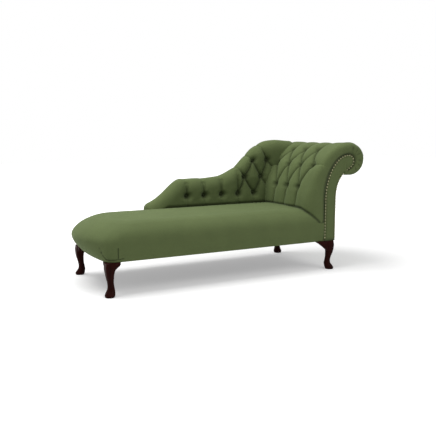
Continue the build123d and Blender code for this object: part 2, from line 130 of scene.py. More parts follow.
def lengths(path):
    return np.concatenate([[0], np.cumsum(np.linalg.norm(np.diff(path, axis=0), axis=1))])

def resample(path, stations):
    s = lengths(path)
    return np.stack([np.interp(stations, s, path[:, i]) for i in range(path.shape[1])], 1)

def smoothed(values, times):
    # each value is drawn toward its neighbours, and the ends stay
    values = np.array(values, float)
    for _ in range(times):
        values[1:-1] = (values[:-2] + 2 * values[1:-1] + values[2:]) / 4
    return values

def darkest(*shares):
    out = shares[0]
    for share in shares[1:]:
        out = np.maximum(out, share)
    return out

def smoothStep(x):
    x = np.clip(x, 0, 1)
    return x * x * (3 - 2 * x)

def roughness3d(points, size, seed):
    # soft value noise from a few sine waves, the same on every run
    rng = np.random.RandomState(seed)
    out = np.zeros(points.shape[:-1])
    for _ in range(9):
        direction = rng.normal(size=3)
        direction /= np.linalg.norm(direction)
        wave = 2 * math.pi / (size * rng.uniform(0.6, 1.6))
        out += np.sin(points @ direction * wave + rng.uniform(0, 6.28))
    return out / 4.5

# finishes

wool = {
    "light": (0.132, 0.170, 0.067),     # lit thread colour
    "dark": (0.088, 0.115, 0.045),
    "creaseAndPaintedShade": (0.021, 0.027, 0.0115),   # painted shade colour, deep in the pleats
    "threadSize": 0.0021,               # metres between threads
    "threadDepth": 0.00022,
    "roughness": 0.93, "gloss": 0.12,
    "sheen": 0.15, "sheenRoughness": 0.45, "sheenTint": (0.62, 0.78, 0.5, 1),
}

class Nodes:
    # a short way to write the nodes of a material or of the world
    def __init__(self, owner, last="Principled BSDF"):
        owner.use_nodes = True
        self.owner = owner
        self.tree = owner.node_tree
        self.shader = self.tree.nodes[last]

    def add(self, kind, **values):
        node = self.tree.nodes.new(kind)
        for key, value in values.items():
            setattr(node, key, value)
        return node

    def link(self, out, into):
        self.tree.links.new(out, into)

    def feed(self, outs):
        # what changes over the surface
        for name, out in outs.items():
            self.link(out, self.shader.inputs[name])

    def hold(self, values):
        # what is the same all over, on the shader's own sockets
        for name, value in values.items():
            self.shader.inputs[name].default_value = value

    def number(self, operation, a, b=None, clamp=False):
        node = self.add("ShaderNodeMath", operation=operation, use_clamp=clamp)
        for socket, value in zip(node.inputs, (a, b)):
            if isinstance(value, (int, float)):
                socket.default_value = value
            elif value is not None:
                self.link(value, socket)
        return node.outputs[0]

    def line(self, value, slope, start, clamp=False):
        # the value times slope, plus start
        return self.number("ADD", self.number("MULTIPLY", value, slope), start, clamp)

    def wave(self, value, pitch):
        return self.number("SINE", self.number("MULTIPLY", value, 2 * math.pi / pitch))

    def mix(self, share, a, b):
        node = self.add("ShaderNodeMix", data_type="RGBA")
        for socket, value in ((node.inputs[0], share), (node.inputs[6], a), (node.inputs[7], b)):
            if isinstance(value, tuple):
                socket.default_value = (*value, 1)
            else:
                self.link(value, socket)
        return node.outputs[2]

    def split(self, where):
        node = self.add("ShaderNodeSeparateXYZ")
        self.link(where, node.inputs[0])
        return node.outputs

    def stretched(self, where, scale):
        node = self.add("ShaderNodeMapping")
        node.inputs["Scale"].default_value = scale
        self.link(where, node.inputs["Vector"])
        return node.outputs[0]

    def noise(self, where, scale, detail=3.0, rough=0.55):
        node = self.add("ShaderNodeTexNoise")
        for name, value in (("Scale", scale), ("Detail", detail), ("Roughness", rough)):
            node.inputs[name].default_value = value
        self.link(where, node.inputs["Vector"])
        return node.outputs["Fac"]

    def bump(self, height, distance, strength):
        node = self.add("ShaderNodeBump")
        node.inputs["Strength"].default_value = strength
        node.inputs["Distance"].default_value = distance
        self.link(height, node.inputs["Height"])
        return node.outputs["Normal"]

def newFinish(name):
    n = Nodes(bpy.data.materials.new(name))
    return n, n.add("ShaderNodeTexCoord").outputs

def woolCloth(name, s):
    n, place = newFinish(name)
    across, along, _ = n.split(place["UV"])
    crossed = n.number("MULTIPLY", n.wave(across, s["threadSize"]), n.wave(along, s["threadSize"]))
    weave = n.line(crossed, 0.5, 0.5)
    fibre = n.noise(place["Object"], 900, 2)
    heather = n.noise(place["Object"], 170, 4, 0.7)
    cloud = n.noise(place["Object"], 9, 2)
    share = n.line(weave, 0.35, n.number("MULTIPLY", heather, 0.75))
    share = n.line(cloud, 0.5, n.number("SUBTRACT", share, 0.35), True)
    # painted shade: the cloth's colour is mixed toward a near-black green where the painted shade attribute
    # is high, deep in creases and crevices
    depth = n.add("ShaderNodeAttribute", attribute_name="creaseAndPaintedShade").outputs["Fac"]
    surface = n.line(weave, 0.7, n.number("MULTIPLY", fibre, 0.6))
    n.feed({"Base Color": n.mix(depth, n.mix(share, s["dark"], s["light"]), s["creaseAndPaintedShade"]),
            "Normal": n.bump(surface, s["threadDepth"], 0.8)})
    n.hold({"Roughness": s["roughness"], "Specular IOR Level": s["gloss"], "Sheen Weight": s["sheen"],
            "Sheen Roughness": s["sheenRoughness"], "Sheen Tint": s["sheenTint"]})
    return n.owner

mahoganyFinish = {
    "light": (0.034, 0.0060, 0.0036), "dark": (0.014, 0.0028, 0.0019),
    "roughness": 0.40, "grainScale": 26.0, "gloss": 0.03, "coat": 0.01, "coatRoughness": 0.08,
}

def polishedWood(name, s):
    n, place = newFinish(name)
    upright = n.stretched(place["Object"], (1.0, 1.0, 0.12))
    bands = n.noise(upright, s["grainScale"], 6, 0.62)
    pores = n.noise(upright, s["grainScale"] * 16, 3, 0.7)
    wear = n.noise(place["Object"], 14, 3)
    colour = n.mix(n.line(bands, 2.2, -0.65, True), s["dark"], s["light"])
    n.feed({"Base Color": n.mix(n.number("MULTIPLY", pores, 0.45), colour, s["dark"]),
            "Roughness": n.line(wear, 0.16, s["roughness"] - 0.08),
            "Normal": n.bump(pores, 0.00012, 0.5)})
    n.hold({"Specular IOR Level": s["gloss"], "Coat Weight": s["coat"], "Coat Roughness": s["coatRoughness"]})
    return n.owner

def plainTimber(name, light, dark, scale=(0.12, 1.0, 1.0)):
    n, place = newFinish(name)
    lengthwise = n.stretched(place["Object"], scale)
    bands = n.noise(lengthwise, 34, 5, 0.6)
    flecks = n.noise(lengthwise, 420, 2, 0.6)
    share = n.number("MULTIPLY", bands, n.number("ADD", flecks, 0.55), True)
    n.feed({"Base Color": n.mix(share, dark, light), "Normal": n.bump(flecks, 0.0002, 0.6)})
    n.hold({"Roughness": 0.7})
    return n.owner

def coarseCloth(name, light, dark, pitch, depth=0.0003):
    # an open plain weave laid out in real size over x + z and y
    n, place = newFinish(name)
    x, y, z = n.split(place["Object"])
    threads = n.number("ADD", n.wave(n.number("ADD", x, z), pitch), n.wave(y, pitch))
    weave = n.line(threads, 0.25, 0.5)
    spots = n.noise(place["Object"], 240, 3)
    share = n.number("MULTIPLY", n.number("ADD", weave, spots), 0.5, True)
    n.feed({"Base Color": n.mix(share, dark, light), "Normal": n.bump(weave, depth, 0.8)})
    n.hold({"Roughness": 0.95})
    return n.owner

def agedMetal(name, light, dark, roughness, metallic=1.0):
    n, place = newFinish(name)
    stain = n.noise(place["Object"], 160, 4, 0.65)
    fine = n.noise(place["Object"], 1500, 2)
    n.feed({"Base Color": n.mix(n.line(stain, 2.0, -0.5, True), dark, light),
            "Roughness": n.line(stain, 0.3, roughness - 0.15), "Normal": n.bump(fine, 0.00008, 0.5)})
    n.hold({"Metallic": metallic})
    return n.owner

clothWool = woolCloth("greenWool", wool)
darkWood = polishedWood("polishedMahogany", mahoganyFinish)
beechWood = plainTimber("planedBeech", (0.55, 0.37, 0.21), (0.38, 0.23, 0.12))
millboard = plainTimber("millboard", (0.36, 0.25, 0.15), (0.28, 0.19, 0.11), (1, 1, 1))
juteWeb = coarseCloth("juteWebbing", (0.42, 0.31, 0.18), (0.16, 0.10, 0.05), 0.004, 0.0005)
juteSheet = coarseCloth("hessianSheet", (0.45, 0.33, 0.19), (0.20, 0.13, 0.06), 0.0028)
stuffing = coarseCloth("stuffing", (0.75, 0.70, 0.58), (0.6, 0.54, 0.42), 0.006)
blackCambric = coarseCloth("blackCambric", (0.030, 0.030, 0.031), (0.008, 0.008, 0.009), 0.0016, 0.00015)
agedBrass = agedMetal("agedBrass", (0.46, 0.44, 0.25), (0.13, 0.125, 0.065), 0.38, 0.6)
zincSteel = agedMetal("zincSteel", (0.55, 0.55, 0.56), (0.35, 0.36, 0.38), 0.4)
print("finishes made")

# seat

seat = {
    "halfWidth": 318 * mm, "skirtTaper": 5 * mm, "bottom": 188 * mm, "rise": 112 * mm,
    "crownRise": 96 * mm, "crownReach": 128 * mm, "footEnd": -846.5 * mm, "bulge": 74 * mm,
    "bow": 28 * mm, "corner": 60 * mm, "bulgeBow": 120 * mm, "bulgeCorner": 112 * mm,
    "noseReach": 166 * mm, "noseFullness": 1.53, "headX": 614.5 * mm,
    "backGapX": -380.5 * mm, "backGapY": 219.5 * mm,    # room for the side back
    "softness": 1.3 * mm,       # how uneven the stuffing is
    "topSwell": 5 * mm,         # extra crown in the middle
    "foldDepth": 3.2 * mm,      # corner seams
    "blend": 26, "blendFrom": 23, "blendTo": 67,        # how far the skirt is blended into the crown
    "padFront": 500 * mm, "padTurn": 223 * mm,          # where the head pad stands on it
    "padTurnWidth": 98 * mm, "padTurnDepth": 114 * mm,
}

def seatRing(half, front, bow, corner, s):
    # from the head end along the near side, round the bowed foot end and back along the far side
    bowRadius = (half * half + bow * bow) / (2 * bow)
    bowX = front + bowRadius
    cornerX = bowX - math.sqrt((bowRadius - corner) ** 2 - (half - corner) ** 2)
    lean = math.degrees(math.atan2(half - corner, bowX - cornerX))
    near = lineTo((s["headX"], -half), (cornerX, -half), 170)
    nearTurn = arc((cornerX, corner - half), corner, corner, 270, 180 + lean, 84)
    bowLine = arc((bowX, 0), bowRadius, bowRadius, 180 + lean, 180 - lean, 56)
    farTurn = arc((cornerX, half - corner), corner, corner, 180 - lean, 90, 84)
    inner = min(half, s["backGapY"])
    gap = max(s["backGapX"], cornerX + 0.1 * mm)
    farFoot = lineTo((cornerX, half), (gap, half), 50)
    # the step leans, so that it fills the corner behind the rounded nose of the side back
    turned = gap + 0.36 * (half - inner)
    step = lineTo((gap, half), (turned, inner), 14)
    farHead = lineTo((turned, inner), (s["headX"], inner), 110)
    return joined(near, nearTurn, bowLine, farTurn, farFoot, step, farHead)

def makeSeat(s):
    rings = []
    def level(half, front, bow, corner, z):
        plan = seatRing(half, front, bow, corner, s)
        rings.append(np.column_stack([plan, np.full(len(plan), z)]))
    base = s["footEnd"]
    hem = s["halfWidth"] - s["skirtTaper"]
    # turned under at the bottom
    level(hem - 9 * mm, base + 9 * mm, s["bow"], s["corner"] - 5 * mm, s["bottom"] + 3 * mm)
    level(hem - 3 * mm, base + 3 * mm, s["bow"], s["corner"], s["bottom"] - 0.2 * mm)
    for share in np.linspace(0.012, 1, 44):
        swell = math.sin(share * math.pi / 2)
        level(s["halfWidth"] - s["skirtTaper"] * (1 - swell), base - s["bulge"] * swell,
              s["bow"] + (s["bulgeBow"] - s["bow"]) * swell,
              s["corner"] + (s["bulgeCorner"] - s["corner"]) * swell, s["bottom"] + share * s["rise"])
    top = s["bottom"] + s["rise"]
    for turn in np.radians(np.linspace(3, 88, 30)):
        nose = 1 - (1 - math.sin(turn) ** s["noseFullness"]) ** (1 / s["noseFullness"])
        level(s["halfWidth"] - s["crownReach"] * (1 - math.cos(turn)),
              base - s["bulge"] + s["noseReach"] * nose,
              s["bulgeBow"], s["bulgeCorner"], top + s["crownRise"] * math.sin(turn))
    half = s["halfWidth"] - s["crownReach"]
    front = base - s["bulge"] + s["noseReach"]
    for share in np.linspace(0.06, 0.985, 16):
        level(half * (1 - share), front + half * share * 0.9, s["bulgeBow"] * (1 - share) + 1 * mm,
              s["bulgeCorner"] * (1 - share) + 0.5 * mm,
              top + s["crownRise"] + s["topSwell"] * math.sin(share * math.pi / 2))
    grid = np.array(rings)
    # the skirt runs into the crown without a ridge
    blended = slice(s["blendFrom"], s["blendTo"])
    grid[blended] = smoothed(grid[blended], s["blend"])
    normals = gridNormals(grid)
    outward = np.sign((normals * (grid - np.array([0.0, 0.0, 0.25]))).sum(2, keepdims=True).mean())
    normals *= outward
    flat = grid.reshape(-1, 3)
    wobble = (roughness3d(flat, 0.28, 4) * 0.7 + roughness3d(flat, 0.11, 9) * 0.3).reshape(grid.shape[:2])
    high = smoothStep((grid[:, :, 2] - s["bottom"]) / 0.05)
    # seams at the foot corners: folds in the shape, which are also painted dark as painted shade
    creaseAndPaintedShade = np.zeros(grid.shape[:2])
    for lineAt in cornerLines():
        creaseAndPaintedShade = np.maximum(creaseAndPaintedShade, lineAt(grid))
    offset = wobble * s["softness"] * high - creaseAndPaintedShade * s["foldDepth"]
    grid = grid + normals * offset[:, :, None]
    rows, columns = grid.shape[:2]
    faces = gridFaces(rows, columns)
    # the head end is closed, under the head pad
    starts = [i * columns for i in range(rows - 1)]
    faces += [(k, k + columns, k + 2 * columns - 1, k + columns - 1) for k in starts]
    faces += endFaces(rows, columns)
    around, down = lengths(grid[rows // 2]), lengths(grid[:, 30])
    uv = np.stack(np.broadcast_arrays(around[None, :], down[:, None]), 2).reshape(-1, 2)
    piece = newObject("seat_cushion", grid.reshape(-1, 3), faces, clothWool, True, uv)
    # painted shade: darker colour in the crevices beside the side back and the head pad
    x, y = grid[:, :, 0], grid[:, :, 1]
    beside = smoothStep((y - s["backGapY"] + 20 * mm) / (20 * mm))
    beside = beside * smoothStep((x - s["backGapX"] - 12 * mm) / (60 * mm))
    turned = np.clip((-y - s["padTurn"]) / s["padTurnWidth"], 0, 1)
    padFront = s["padFront"] + s["padTurnDepth"] * (1 - np.sqrt(1 - turned ** 2))
    under = smoothStep((x - padFront + 22 * mm) / (24 * mm))
    paintedCreviceShade = np.maximum(beside, under) * (grid[:, :, 2] > 0.31)
    # painted shade in the corner seams and in the crevices
    addPaintedShade(piece, np.maximum(creaseAndPaintedShade * 0.95, paintedCreviceShade * 0.8))
    fixNormals(piece)
    return piece

def seatHeight(y, s=seat):
    # how high the crown of the seat stands at a place across it
    reach = (np.abs(y) - (s["halfWidth"] - s["crownReach"])) / s["crownReach"]
    return s["bottom"] + s["rise"] + s["crownRise"] * np.sqrt(1 - np.clip(reach, 0, 1) ** 2)

def cornerLines():
    # thin folds in the cloth at both foot corners, also used as painted shade along them
    def fold(points, width):
        points = np.array(points) * mm
        def value(grid):
            best = np.full(grid.shape[:2], 1.0)
            for a, b in zip(points[:-1], points[1:]):
                ab = b - a
                t = np.clip(((grid - a) @ ab) / (ab @ ab), 0, 1)
                best = np.minimum(best, np.linalg.norm(grid - (a + t[:, :, None] * ab), axis=2))
            return np.clip(1 - best / width, 0, 1) ** 1.5
        return value
    lines = []
    for side in (-1, 1):
        lines.append(fold([
            (-847, side * 250.4, 264), (-843.2, side * 251.3, 248.6), (-837.3, side * 255.9, 231.3),
            (-830.6, side * 265.2, 216.9), (-823.5, side * 277, 205)], 5.6 * mm))
        lines.append(fold([
            (-763.7, side * 316.2, 266), (-764.1, side * 315.8, 252.6),
            (-764.3, side * 313.5, 204)], 5.4 * mm))
        lines.append(fold([
            (-823.4, side * 276.8, 204.1), (-810.2, side * 294.3, 200.5), (-792, side * 307, 201.1),
            (-771.6, side * 313, 203.5), (-735, side * 314.4, 207)], 4.8 * mm))
    return lines

seatPiece = makeSeat(seat)
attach(seatPiece, "root")
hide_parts("seat_cover", "seat_foam")
print("seat made")

# the crook shape of the head end, shared by the facings and the pad

crook = {
    "inner": 616 * mm, "outer": 701 * mm, "bottom": 188 * mm, "neckTop": 456 * mm,
    "scrollX": 798.5 * mm, "scrollZ": 697 * mm, "radius": 43 * mm, "endSlope": 30,
    "throatBend": 95 * mm, "neckBend": 110 * mm,
}

def crookLine(grow=0.0, s=crook):
    # open line from the bottom of the front edge, round the scroll, to the bottom of the back edge
    slope = math.radians(s["endSlope"])
    r = s["radius"] + grow
    inner, outer = s["inner"] - grow, s["outer"] + grow
    tip = (s["scrollX"] + r * math.sin(slope), s["scrollZ"] - r * math.cos(slope))
    throat = (tip[0] - s["throatBend"] * math.cos(slope), tip[1] - s["throatBend"] * math.sin(slope))
    front = lineTo((inner, s["bottom"]), (inner, s["neckTop"]), 40)
    sweepHeight = s["scrollZ"] + r - s["neckTop"]
    sweep = arc((s["scrollX"], s["neckTop"]), s["scrollX"] - inner, sweepHeight, 180, 90, 50)
    nose = arc((s["scrollX"], s["scrollZ"]), r, r, 90, -60, 36)
    back = bezier(tip, throat, (outer, s["neckTop"] + s["neckBend"]), (outer, s["neckTop"]), 50)
    foot = lineTo((outer, s["neckTop"]), (outer, s["bottom"]), 40)
    return joined(front, sweep, nose, back, foot)

# pleats: straight or bowed folds between two places on the flat cloth

def puff(share):
    # the fall from the crown of a puff (0) into the crease (1), round like a stuffed pocket
    share = np.clip(share, 0, 1)
    return 1 - (1 - share * share) ** 0.62

foldPower = 4.0     # how sharply one crease gives way to the next

def pleatField(u, v, pleats, power=foldPower):
    # each fold runs from a, where it is da deep, to b, where it is db deep
    total = np.zeros_like(u)
    for p in pleats:
        a, b = np.array(p["a"], float), np.array(p["b"], float)
        along = b - a
        length = np.linalg.norm(along)
        along /= length
        side = np.array([-along[1], along[0]])
        du, dv = u - a[0], v - a[1]
        t = np.clip((du * along[0] + dv * along[1]) / length, 0, 1)
        over = (du * along[0] + dv * along[1]) - t * length
        cross = du * side[0] + dv * side[1] - p.get("bow", 0.0) * np.sin(math.pi * t)
        d = np.hypot(over, cross)
        d = np.maximum(d - p.get("spread", 0.0) * t, 0)     # a V fold opens toward its far end
        floor = p["da"] * (1 - t) + p["db"] * t - p.get("lift", 0.0) * 4 * t * (1 - t)
        wide = puff(1 - d / p["width"])
        lip = np.where(cross > 0, p.get("lip", 0.014), p.get("lip", 0.014) * 0.55)
        sharp = np.clip(1 - d / lip, 0, 1) ** 1.6
        depth = np.maximum(floor, 0) * (0.92 * wide + 0.08 * sharp)
        total += depth ** power
    return total

def buttonField(u, v, places, depth, width, power=foldPower):
    total = np.zeros_like(u)
    for place in places:
        r = np.hypot(u - place[0], v - place[1])
        total += (depth * np.clip(1 - np.clip(r - 0.009, 0, None) / width, 0, 1) ** 2.3) ** power
    return total

def tufted(u, v, pleats, places, s):
    # how deep the folds and the buttons draw the cloth in
    field = pleatField(u, v, pleats) + buttonField(u, v, places, s["buttonDepth"], s["buttonReach"])
    return np.minimum(field ** (1 / foldPower), s["deepest"])

def nearButtons(u, v, places, reach=17 * mm):
    # 1 at each button, 0 away from them
    total = np.zeros_like(u)
    for place in places:
        total = np.maximum(total, np.exp(-(np.hypot(u - place[0], v - place[1]) / reach) ** 2))
    return total

def gathers(u, v, places, height, reach, seed):
    # small folds that run out from each button
    rng = np.random.RandomState(seed)
    total = np.zeros_like(u)
    for place in places:
        du, dv = u - place[0], v - place[1]
        r = np.hypot(du, dv)
        turn = np.arctan2(dv, du)
        ripple = np.zeros_like(u)
        for n in (7, 11, 16):
            ripple += np.sin(n * turn + rng.uniform(0, 6.28)) / 3
        total += height * ripple * smoothStep((r - 0.010) / 0.016) * np.exp(-r / reach)
    return total

# head pad

headPad = {
    "front": 500 * mm, "spring": 390 * mm, "base": 296 * mm,
    "rollX": 821.5 * mm, "rollZ": 717 * mm, "rollRadius": 99 * mm,
    "underBend": (762 * mm, 1 * mm), "underEnd": (744 * mm, 7 * mm),    # x, and height above the roll's foot
    "sections": 300, "thickest": 118 * mm, "sweepTop": 550 * mm,
    "nearY": 321.5 * mm, "farY": 319.5 * mm, "hiddenFarY": 276 * mm, "behindSideY": 316 * mm,
    "edgeRoundLow": 98 * mm, "edgeRoundRoll": 42 * mm, "tuck": 6.5 * mm,
    "drum": 2.8,                # squareness of the roll's ends, 2 is round
    "drumFrom": 330 * mm, "drumOver": 340 * mm,         # heights over which the ends grow square
    "rollFrom": 700 * mm, "behindFrom": 712 * mm, "rolledFrom": 775 * mm,       # x
    "endBulge": 10 * mm, "endSwell": 4 * mm, "endLean": 13 * mm,
    "gatherPitch": 56 * mm, "gatherDepth": 2.4 * mm,
    "rows": (784 * mm, 684 * mm, 537 * mm), "counts": (3, 4, 3),
    "spacing": (142 * mm, 138 * mm, 129 * mm), "shift": (18 * mm, 8 * mm, 0 * mm),
    "buttonDepth": 38 * mm, "buttonReach": 50 * mm, "deepest": 43 * mm,
    "pleatDepth": 36 * mm, "pleatWidth": 74 * mm,
    "rippleHeight": 1.6 * mm, "rippleReach": 30 * mm,   # small folds round each button
    "lumpSize": 120 * mm, "lumpHeight": 1.2 * mm,       # unevenness of the stuffing
    "seatTuck": 9 * mm,         # how far the pad draws in where it meets the seat
    # painted shade: how dark the folds, the cloth round the buttons, the tuck at the seat, the seam by the
    # facing and the gather valleys are painted
    "creaseShade": 0.70, "buttonShade": 0.92, "tuckShade": 0.75, "seamShade": 0.8, "gatherShade": 0.5,
}

def padProfile(s):
    crest = s["rollZ"] + s["rollRadius"]
    front = lineTo((s["front"], s["base"]), (s["front"], s["spring"]), 40)
    sweep = arc((s["rollX"], s["spring"]), s["rollX"] - s["front"], crest - s["spring"], 180, 90, 220)
    roll = arc((s["rollX"], s["rollZ"]), s["rollRadius"], s["rollRadius"], 90, -90, 140)
    low = s["rollZ"] - s["rollRadius"]
    bend, end = ((x, low + rise) for x, rise in (s["underBend"], s["underEnd"]))
    under = bezier((s["rollX"], low), (s["rollX"] - 34 * mm, low), bend, end, 30)
    return joined(front, sweep, roll, under)

def profileNormals(path):
    # to the left of the way along the line, which is outward here
    t = np.gradient(path, axis=0)
    t /= np.linalg.norm(t, axis=1, keepdims=True)
    return np.stack([-t[:, 1], t[:, 0]], 1)

def offProfile(path, normals, across, outward):
    # points spread over the width and lifted off the profile along its normals
    points = np.zeros((*across.shape, 3))
    points[:, :, 0] = path[:, None, 0] + normals[:, None, 0] * outward
    points[:, :, 1] = across
    points[:, :, 2] = path[:, None, 1] + normals[:, None, 1] * outward
    return points

def depthTo(path, normals, line):
    # how far behind each place of the profile the crook lies
    a, b = line[:-1], line[1:]
    ab = b - a
    out = np.zeros(len(path))
    for i, (p, n) in enumerate(zip(path, normals)):
        d = -n
        den = d[0] * ab[:, 1] - d[1] * ab[:, 0]
        den = np.where(np.abs(den) < 1e-12, 1e-12, den)
        w = a - p
        t = (w[:, 0] * ab[:, 1] - w[:, 1] * ab[:, 0]) / den
        k = (w[:, 0] * d[1] - w[:, 1] * d[0]) / den
        good = (t > 0.001) & (k >= -0.001) & (k <= 1.001)
        out[i] = t[good].min() if good.any() else 0.004
    return out

def makeHeadPad(s):
    rough = padProfile(s)
    path = resample(rough, np.linspace(0, lengths(rough)[-1], s["sections"]))
    stations = lengths(path)
    normals = profileNormals(path)
    bed = crookLine(1.5 * mm)
    depth = smoothed(np.minimum(depthTo(path, normals, bed), s["thickest"]), 12)
    x, z = path[:, 0], path[:, 1]
    rise = smoothStep((z - s["drumFrom"]) / s["drumOver"])
    edge = s["edgeRoundLow"] * (1 - rise) + s["edgeRoundRoll"] * rise
    squareness = 2 / (2 * (1 - rise) + s["drum"] * rise)
    # shares that grow toward the roll
    upper = z > s["sweepTop"]
    rollShare = smoothStep((x - s["rollFrom"]) / (100 * mm)) * upper
    behindSide = smoothStep((x - s["behindFrom"]) / (30 * mm)) * upper
    rolled = smoothStep((x - s["rolledFrom"]) / (20 * mm)) * upper
    farY = s["hiddenFarY"] + (s["behindSideY"] - s["hiddenFarY"]) * behindSide
    farY = farY + (s["farY"] - s["behindSideY"]) * rolled
    # one section across the pad: near rounding, flat, far rounding
    rounding, flat = 26, 150
    turn = np.linspace(0, math.pi / 2, rounding)
    tuck = s["tuck"] * np.exp(-(turn / 0.16) ** 2)
    y = np.zeros((len(path), 2 * rounding + flat))
    d = np.zeros_like(y)
    v = np.zeros_like(y)
    for i in range(len(path)):
        near, far = edge[i], s["edgeRoundRoll"]
        around, away = np.cos(turn).clip(0) ** squareness[i], np.sin(turn) ** squareness[i]
        bulge = s["endBulge"] * rollShare[i] * np.sin(math.pi * np.clip(turn / 1.25, 0, 1))
        nearSide = -s["nearY"] + near * (1 - around) - bulge + tuck
        farSide = farY[i] - far * (1 - around[::-1]) - tuck[::-1]
        middle = np.linspace(-s["nearY"] + near, farY[i] - far, flat + 2)[1:-1]
        y[i] = np.concatenate([nearSide, middle, farSide])
        d[i] = np.concatenate([depth[i] * (1 - away), np.zeros(flat), depth[i] * (1 - away[::-1])])
        step = lengths(np.column_stack([y[i], d[i]]))
        v[i] = step - step[rounding] + y[i][rounding]
    base = offProfile(path, normals, y, -d)
    surface = gridNormals(base)
    if surface[100, 80, 0] > 0:
        surface = -surface
    # places of the buttons on the flat cloth
    upTo = np.argmax(z)
    rowAt = [np.interp(height, z[:upTo], stations[:upTo]) for height in s["rows"]]
    rows = []
    for at, count, spacing, shift in zip(rowAt, s["counts"], s["spacing"], s["shift"]):
        rows.append([(at, shift + (i - (count - 1) / 2) * spacing) for i in range(count)])
    top, middle, low = rows
    places = top + middle + low
    crestAt, endAt = stations[upTo], stations[-1]
    deep, wide = s["pleatDepth"], s["pleatWidth"]
    pleats = []
    def fold(a, b, da, db, width=wide, **more):
        pleats.append({"a": a, "b": b, "da": da, "db": db, "width": width, **more})
    for i, place in enumerate(top):
        fold(middle[i], place, deep, deep, lift=4 * mm, bow=5 * mm)
        fold(middle[i + 1], place, deep, deep, lift=4 * mm, bow=-5 * mm)
        fan = place[1] * 0.03
        over = (crestAt + 0.07, place[1] + fan)
        fold(place, over, 0.85 * deep, 13 * mm, width=0.070)
        fold(over, (endAt - 0.05, place[1] + 2 * fan), 13 * mm, 3 * mm, width=0.066)
    for i, place in enumerate(low):
        fold(place, middle[i], deep, deep, lift=4 * mm, bow=4 * mm)
        fold(place, middle[i + 1], deep, deep, lift=4 * mm, bow=-4 * mm)
        fold((0.02, place[1]), place, 11 * mm, deep, width=0.062)
    # to both edges
    fold((middle[0][0] + 0.004, -0.345), middle[0], 3 * mm, 24 * mm, width=0.060)
    fold(middle[3], (middle[3][0], 0.30), 24 * mm, 12 * mm, width=0.055)
    u = np.broadcast_to(stations[:, None], y.shape)
    dent = tufted(u, v, pleats, places, s)
    # drawn in along the seat
    inFront = (smoothStep((0.60 - x) / 0.03) * (z < s["sweepTop"]))[:, None]
    tucked = (1 - smoothStep((base[:, :, 2] - seatHeight(y) + 6 * mm) / (26 * mm))) * inFront
    dent = dent + s["seatTuck"] * tucked
    dent = dent - gathers(u, v, places, s["rippleHeight"], s["rippleReach"], 3)
    soft = roughness3d(base.reshape(-1, 3), s["lumpSize"], 21).reshape(y.shape) * s["lumpHeight"]
    def acrossPad(near, middle, far):
        return np.concatenate([near, np.full(flat, middle), far])[None, :]
    # the seam beside the facing stays put
    hold = smoothStep(acrossPad(np.linspace(0, 1.4, rounding), 1.4, np.linspace(1.4, 0, rounding)))
    # gathers of the round end
    fromSeam = acrossPad(turn, 9.0, turn[::-1])
    ringTurn = 2 * math.pi * stations / s["gatherPitch"]
    ends = np.exp(-((fromSeam - 0.45) / 0.42) ** 2)
    atRoll = (smoothStep((stations - rowAt[0]) / 0.12) * smoothStep((endAt - stations) / 0.06))[:, None]
    waves = np.sin(ringTurn + 1.1 * np.sin(ringTurn * 0.37))[:, None] * ends * atRoll
    valleys = np.clip(waves, 0, 1) ** 4
    radial = (0.35 * waves + 0.65 * valleys) * s["gatherDepth"]
    leaning = np.clip(normals[:, 0] * 0.86 - normals[:, 1] * 0.5, 0, 1)     # fuller toward the back
    swell = (s["endSwell"] + s["endLean"] * leaning)[:, None] * rollShare[:, None]
    swell = swell * np.exp(-((y + s["nearY"] - 30 * mm) / (42 * mm)) ** 2)
    swell = swell * smoothStep(acrossPad(turn / 0.9, 2.0, turn[::-1]))
    grid = base - surface * ((dent - soft) * hold + radial - swell)[:, :, None]
    # the inner side lies along the crook
    columns = y.shape[1]
    innerY = np.linspace(0, 1, columns)[None, :] * (y[:, -1:] - y[:, :1]) + y[:, :1]
    inner = offProfile(path, normals, innerY, -depth[:, None])
    loop = np.concatenate([grid, inner[:, ::-1][:, 1:-1:6]], axis=1)
    count, width = loop.shape[:2]
    uv = np.full((count, width, 2), 0.4)
    uv[:, :columns, 0] = v
    uv[:, :, 1] = stations[:, None]
    piece = newObject("head_pad_cloth", loop.reshape(-1, 3), closedFaces(count, width), clothWool,
                      True, uv.reshape(-1, 2))
    # painted shade: darker colour in the folds, round the buttons, along the tuck at the seat, beside the
    # seam and in the gathers
    paintedShade = np.zeros((count, width))
    paintedShade[:, :columns] = darkest(
        smoothStep((dent - 6 * mm) / (38 * mm)) * s["creaseShade"],
        nearButtons(u, v, places, 23 * mm) * s["buttonShade"], tucked * s["tuckShade"],
        np.exp(-(fromSeam / 0.10) ** 2) * s["seamShade"], valleys * s["gatherShade"])
    addPaintedShade(piece, paintedShade)
    fixNormals(piece)
    # where each button sits
    seats = []
    for at, across in places:
        i = int(np.argmin(np.abs(stations - at)))
        seats.append((Vector((x[i], across, z[i])), Vector((normals[i][0], 0, normals[i][1]))))
    return piece, seats

headPiece, headSeats = makeHeadPad(headPad)
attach(headPiece, "root")
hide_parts("head_pad")
print("head pad made")

# side back pad

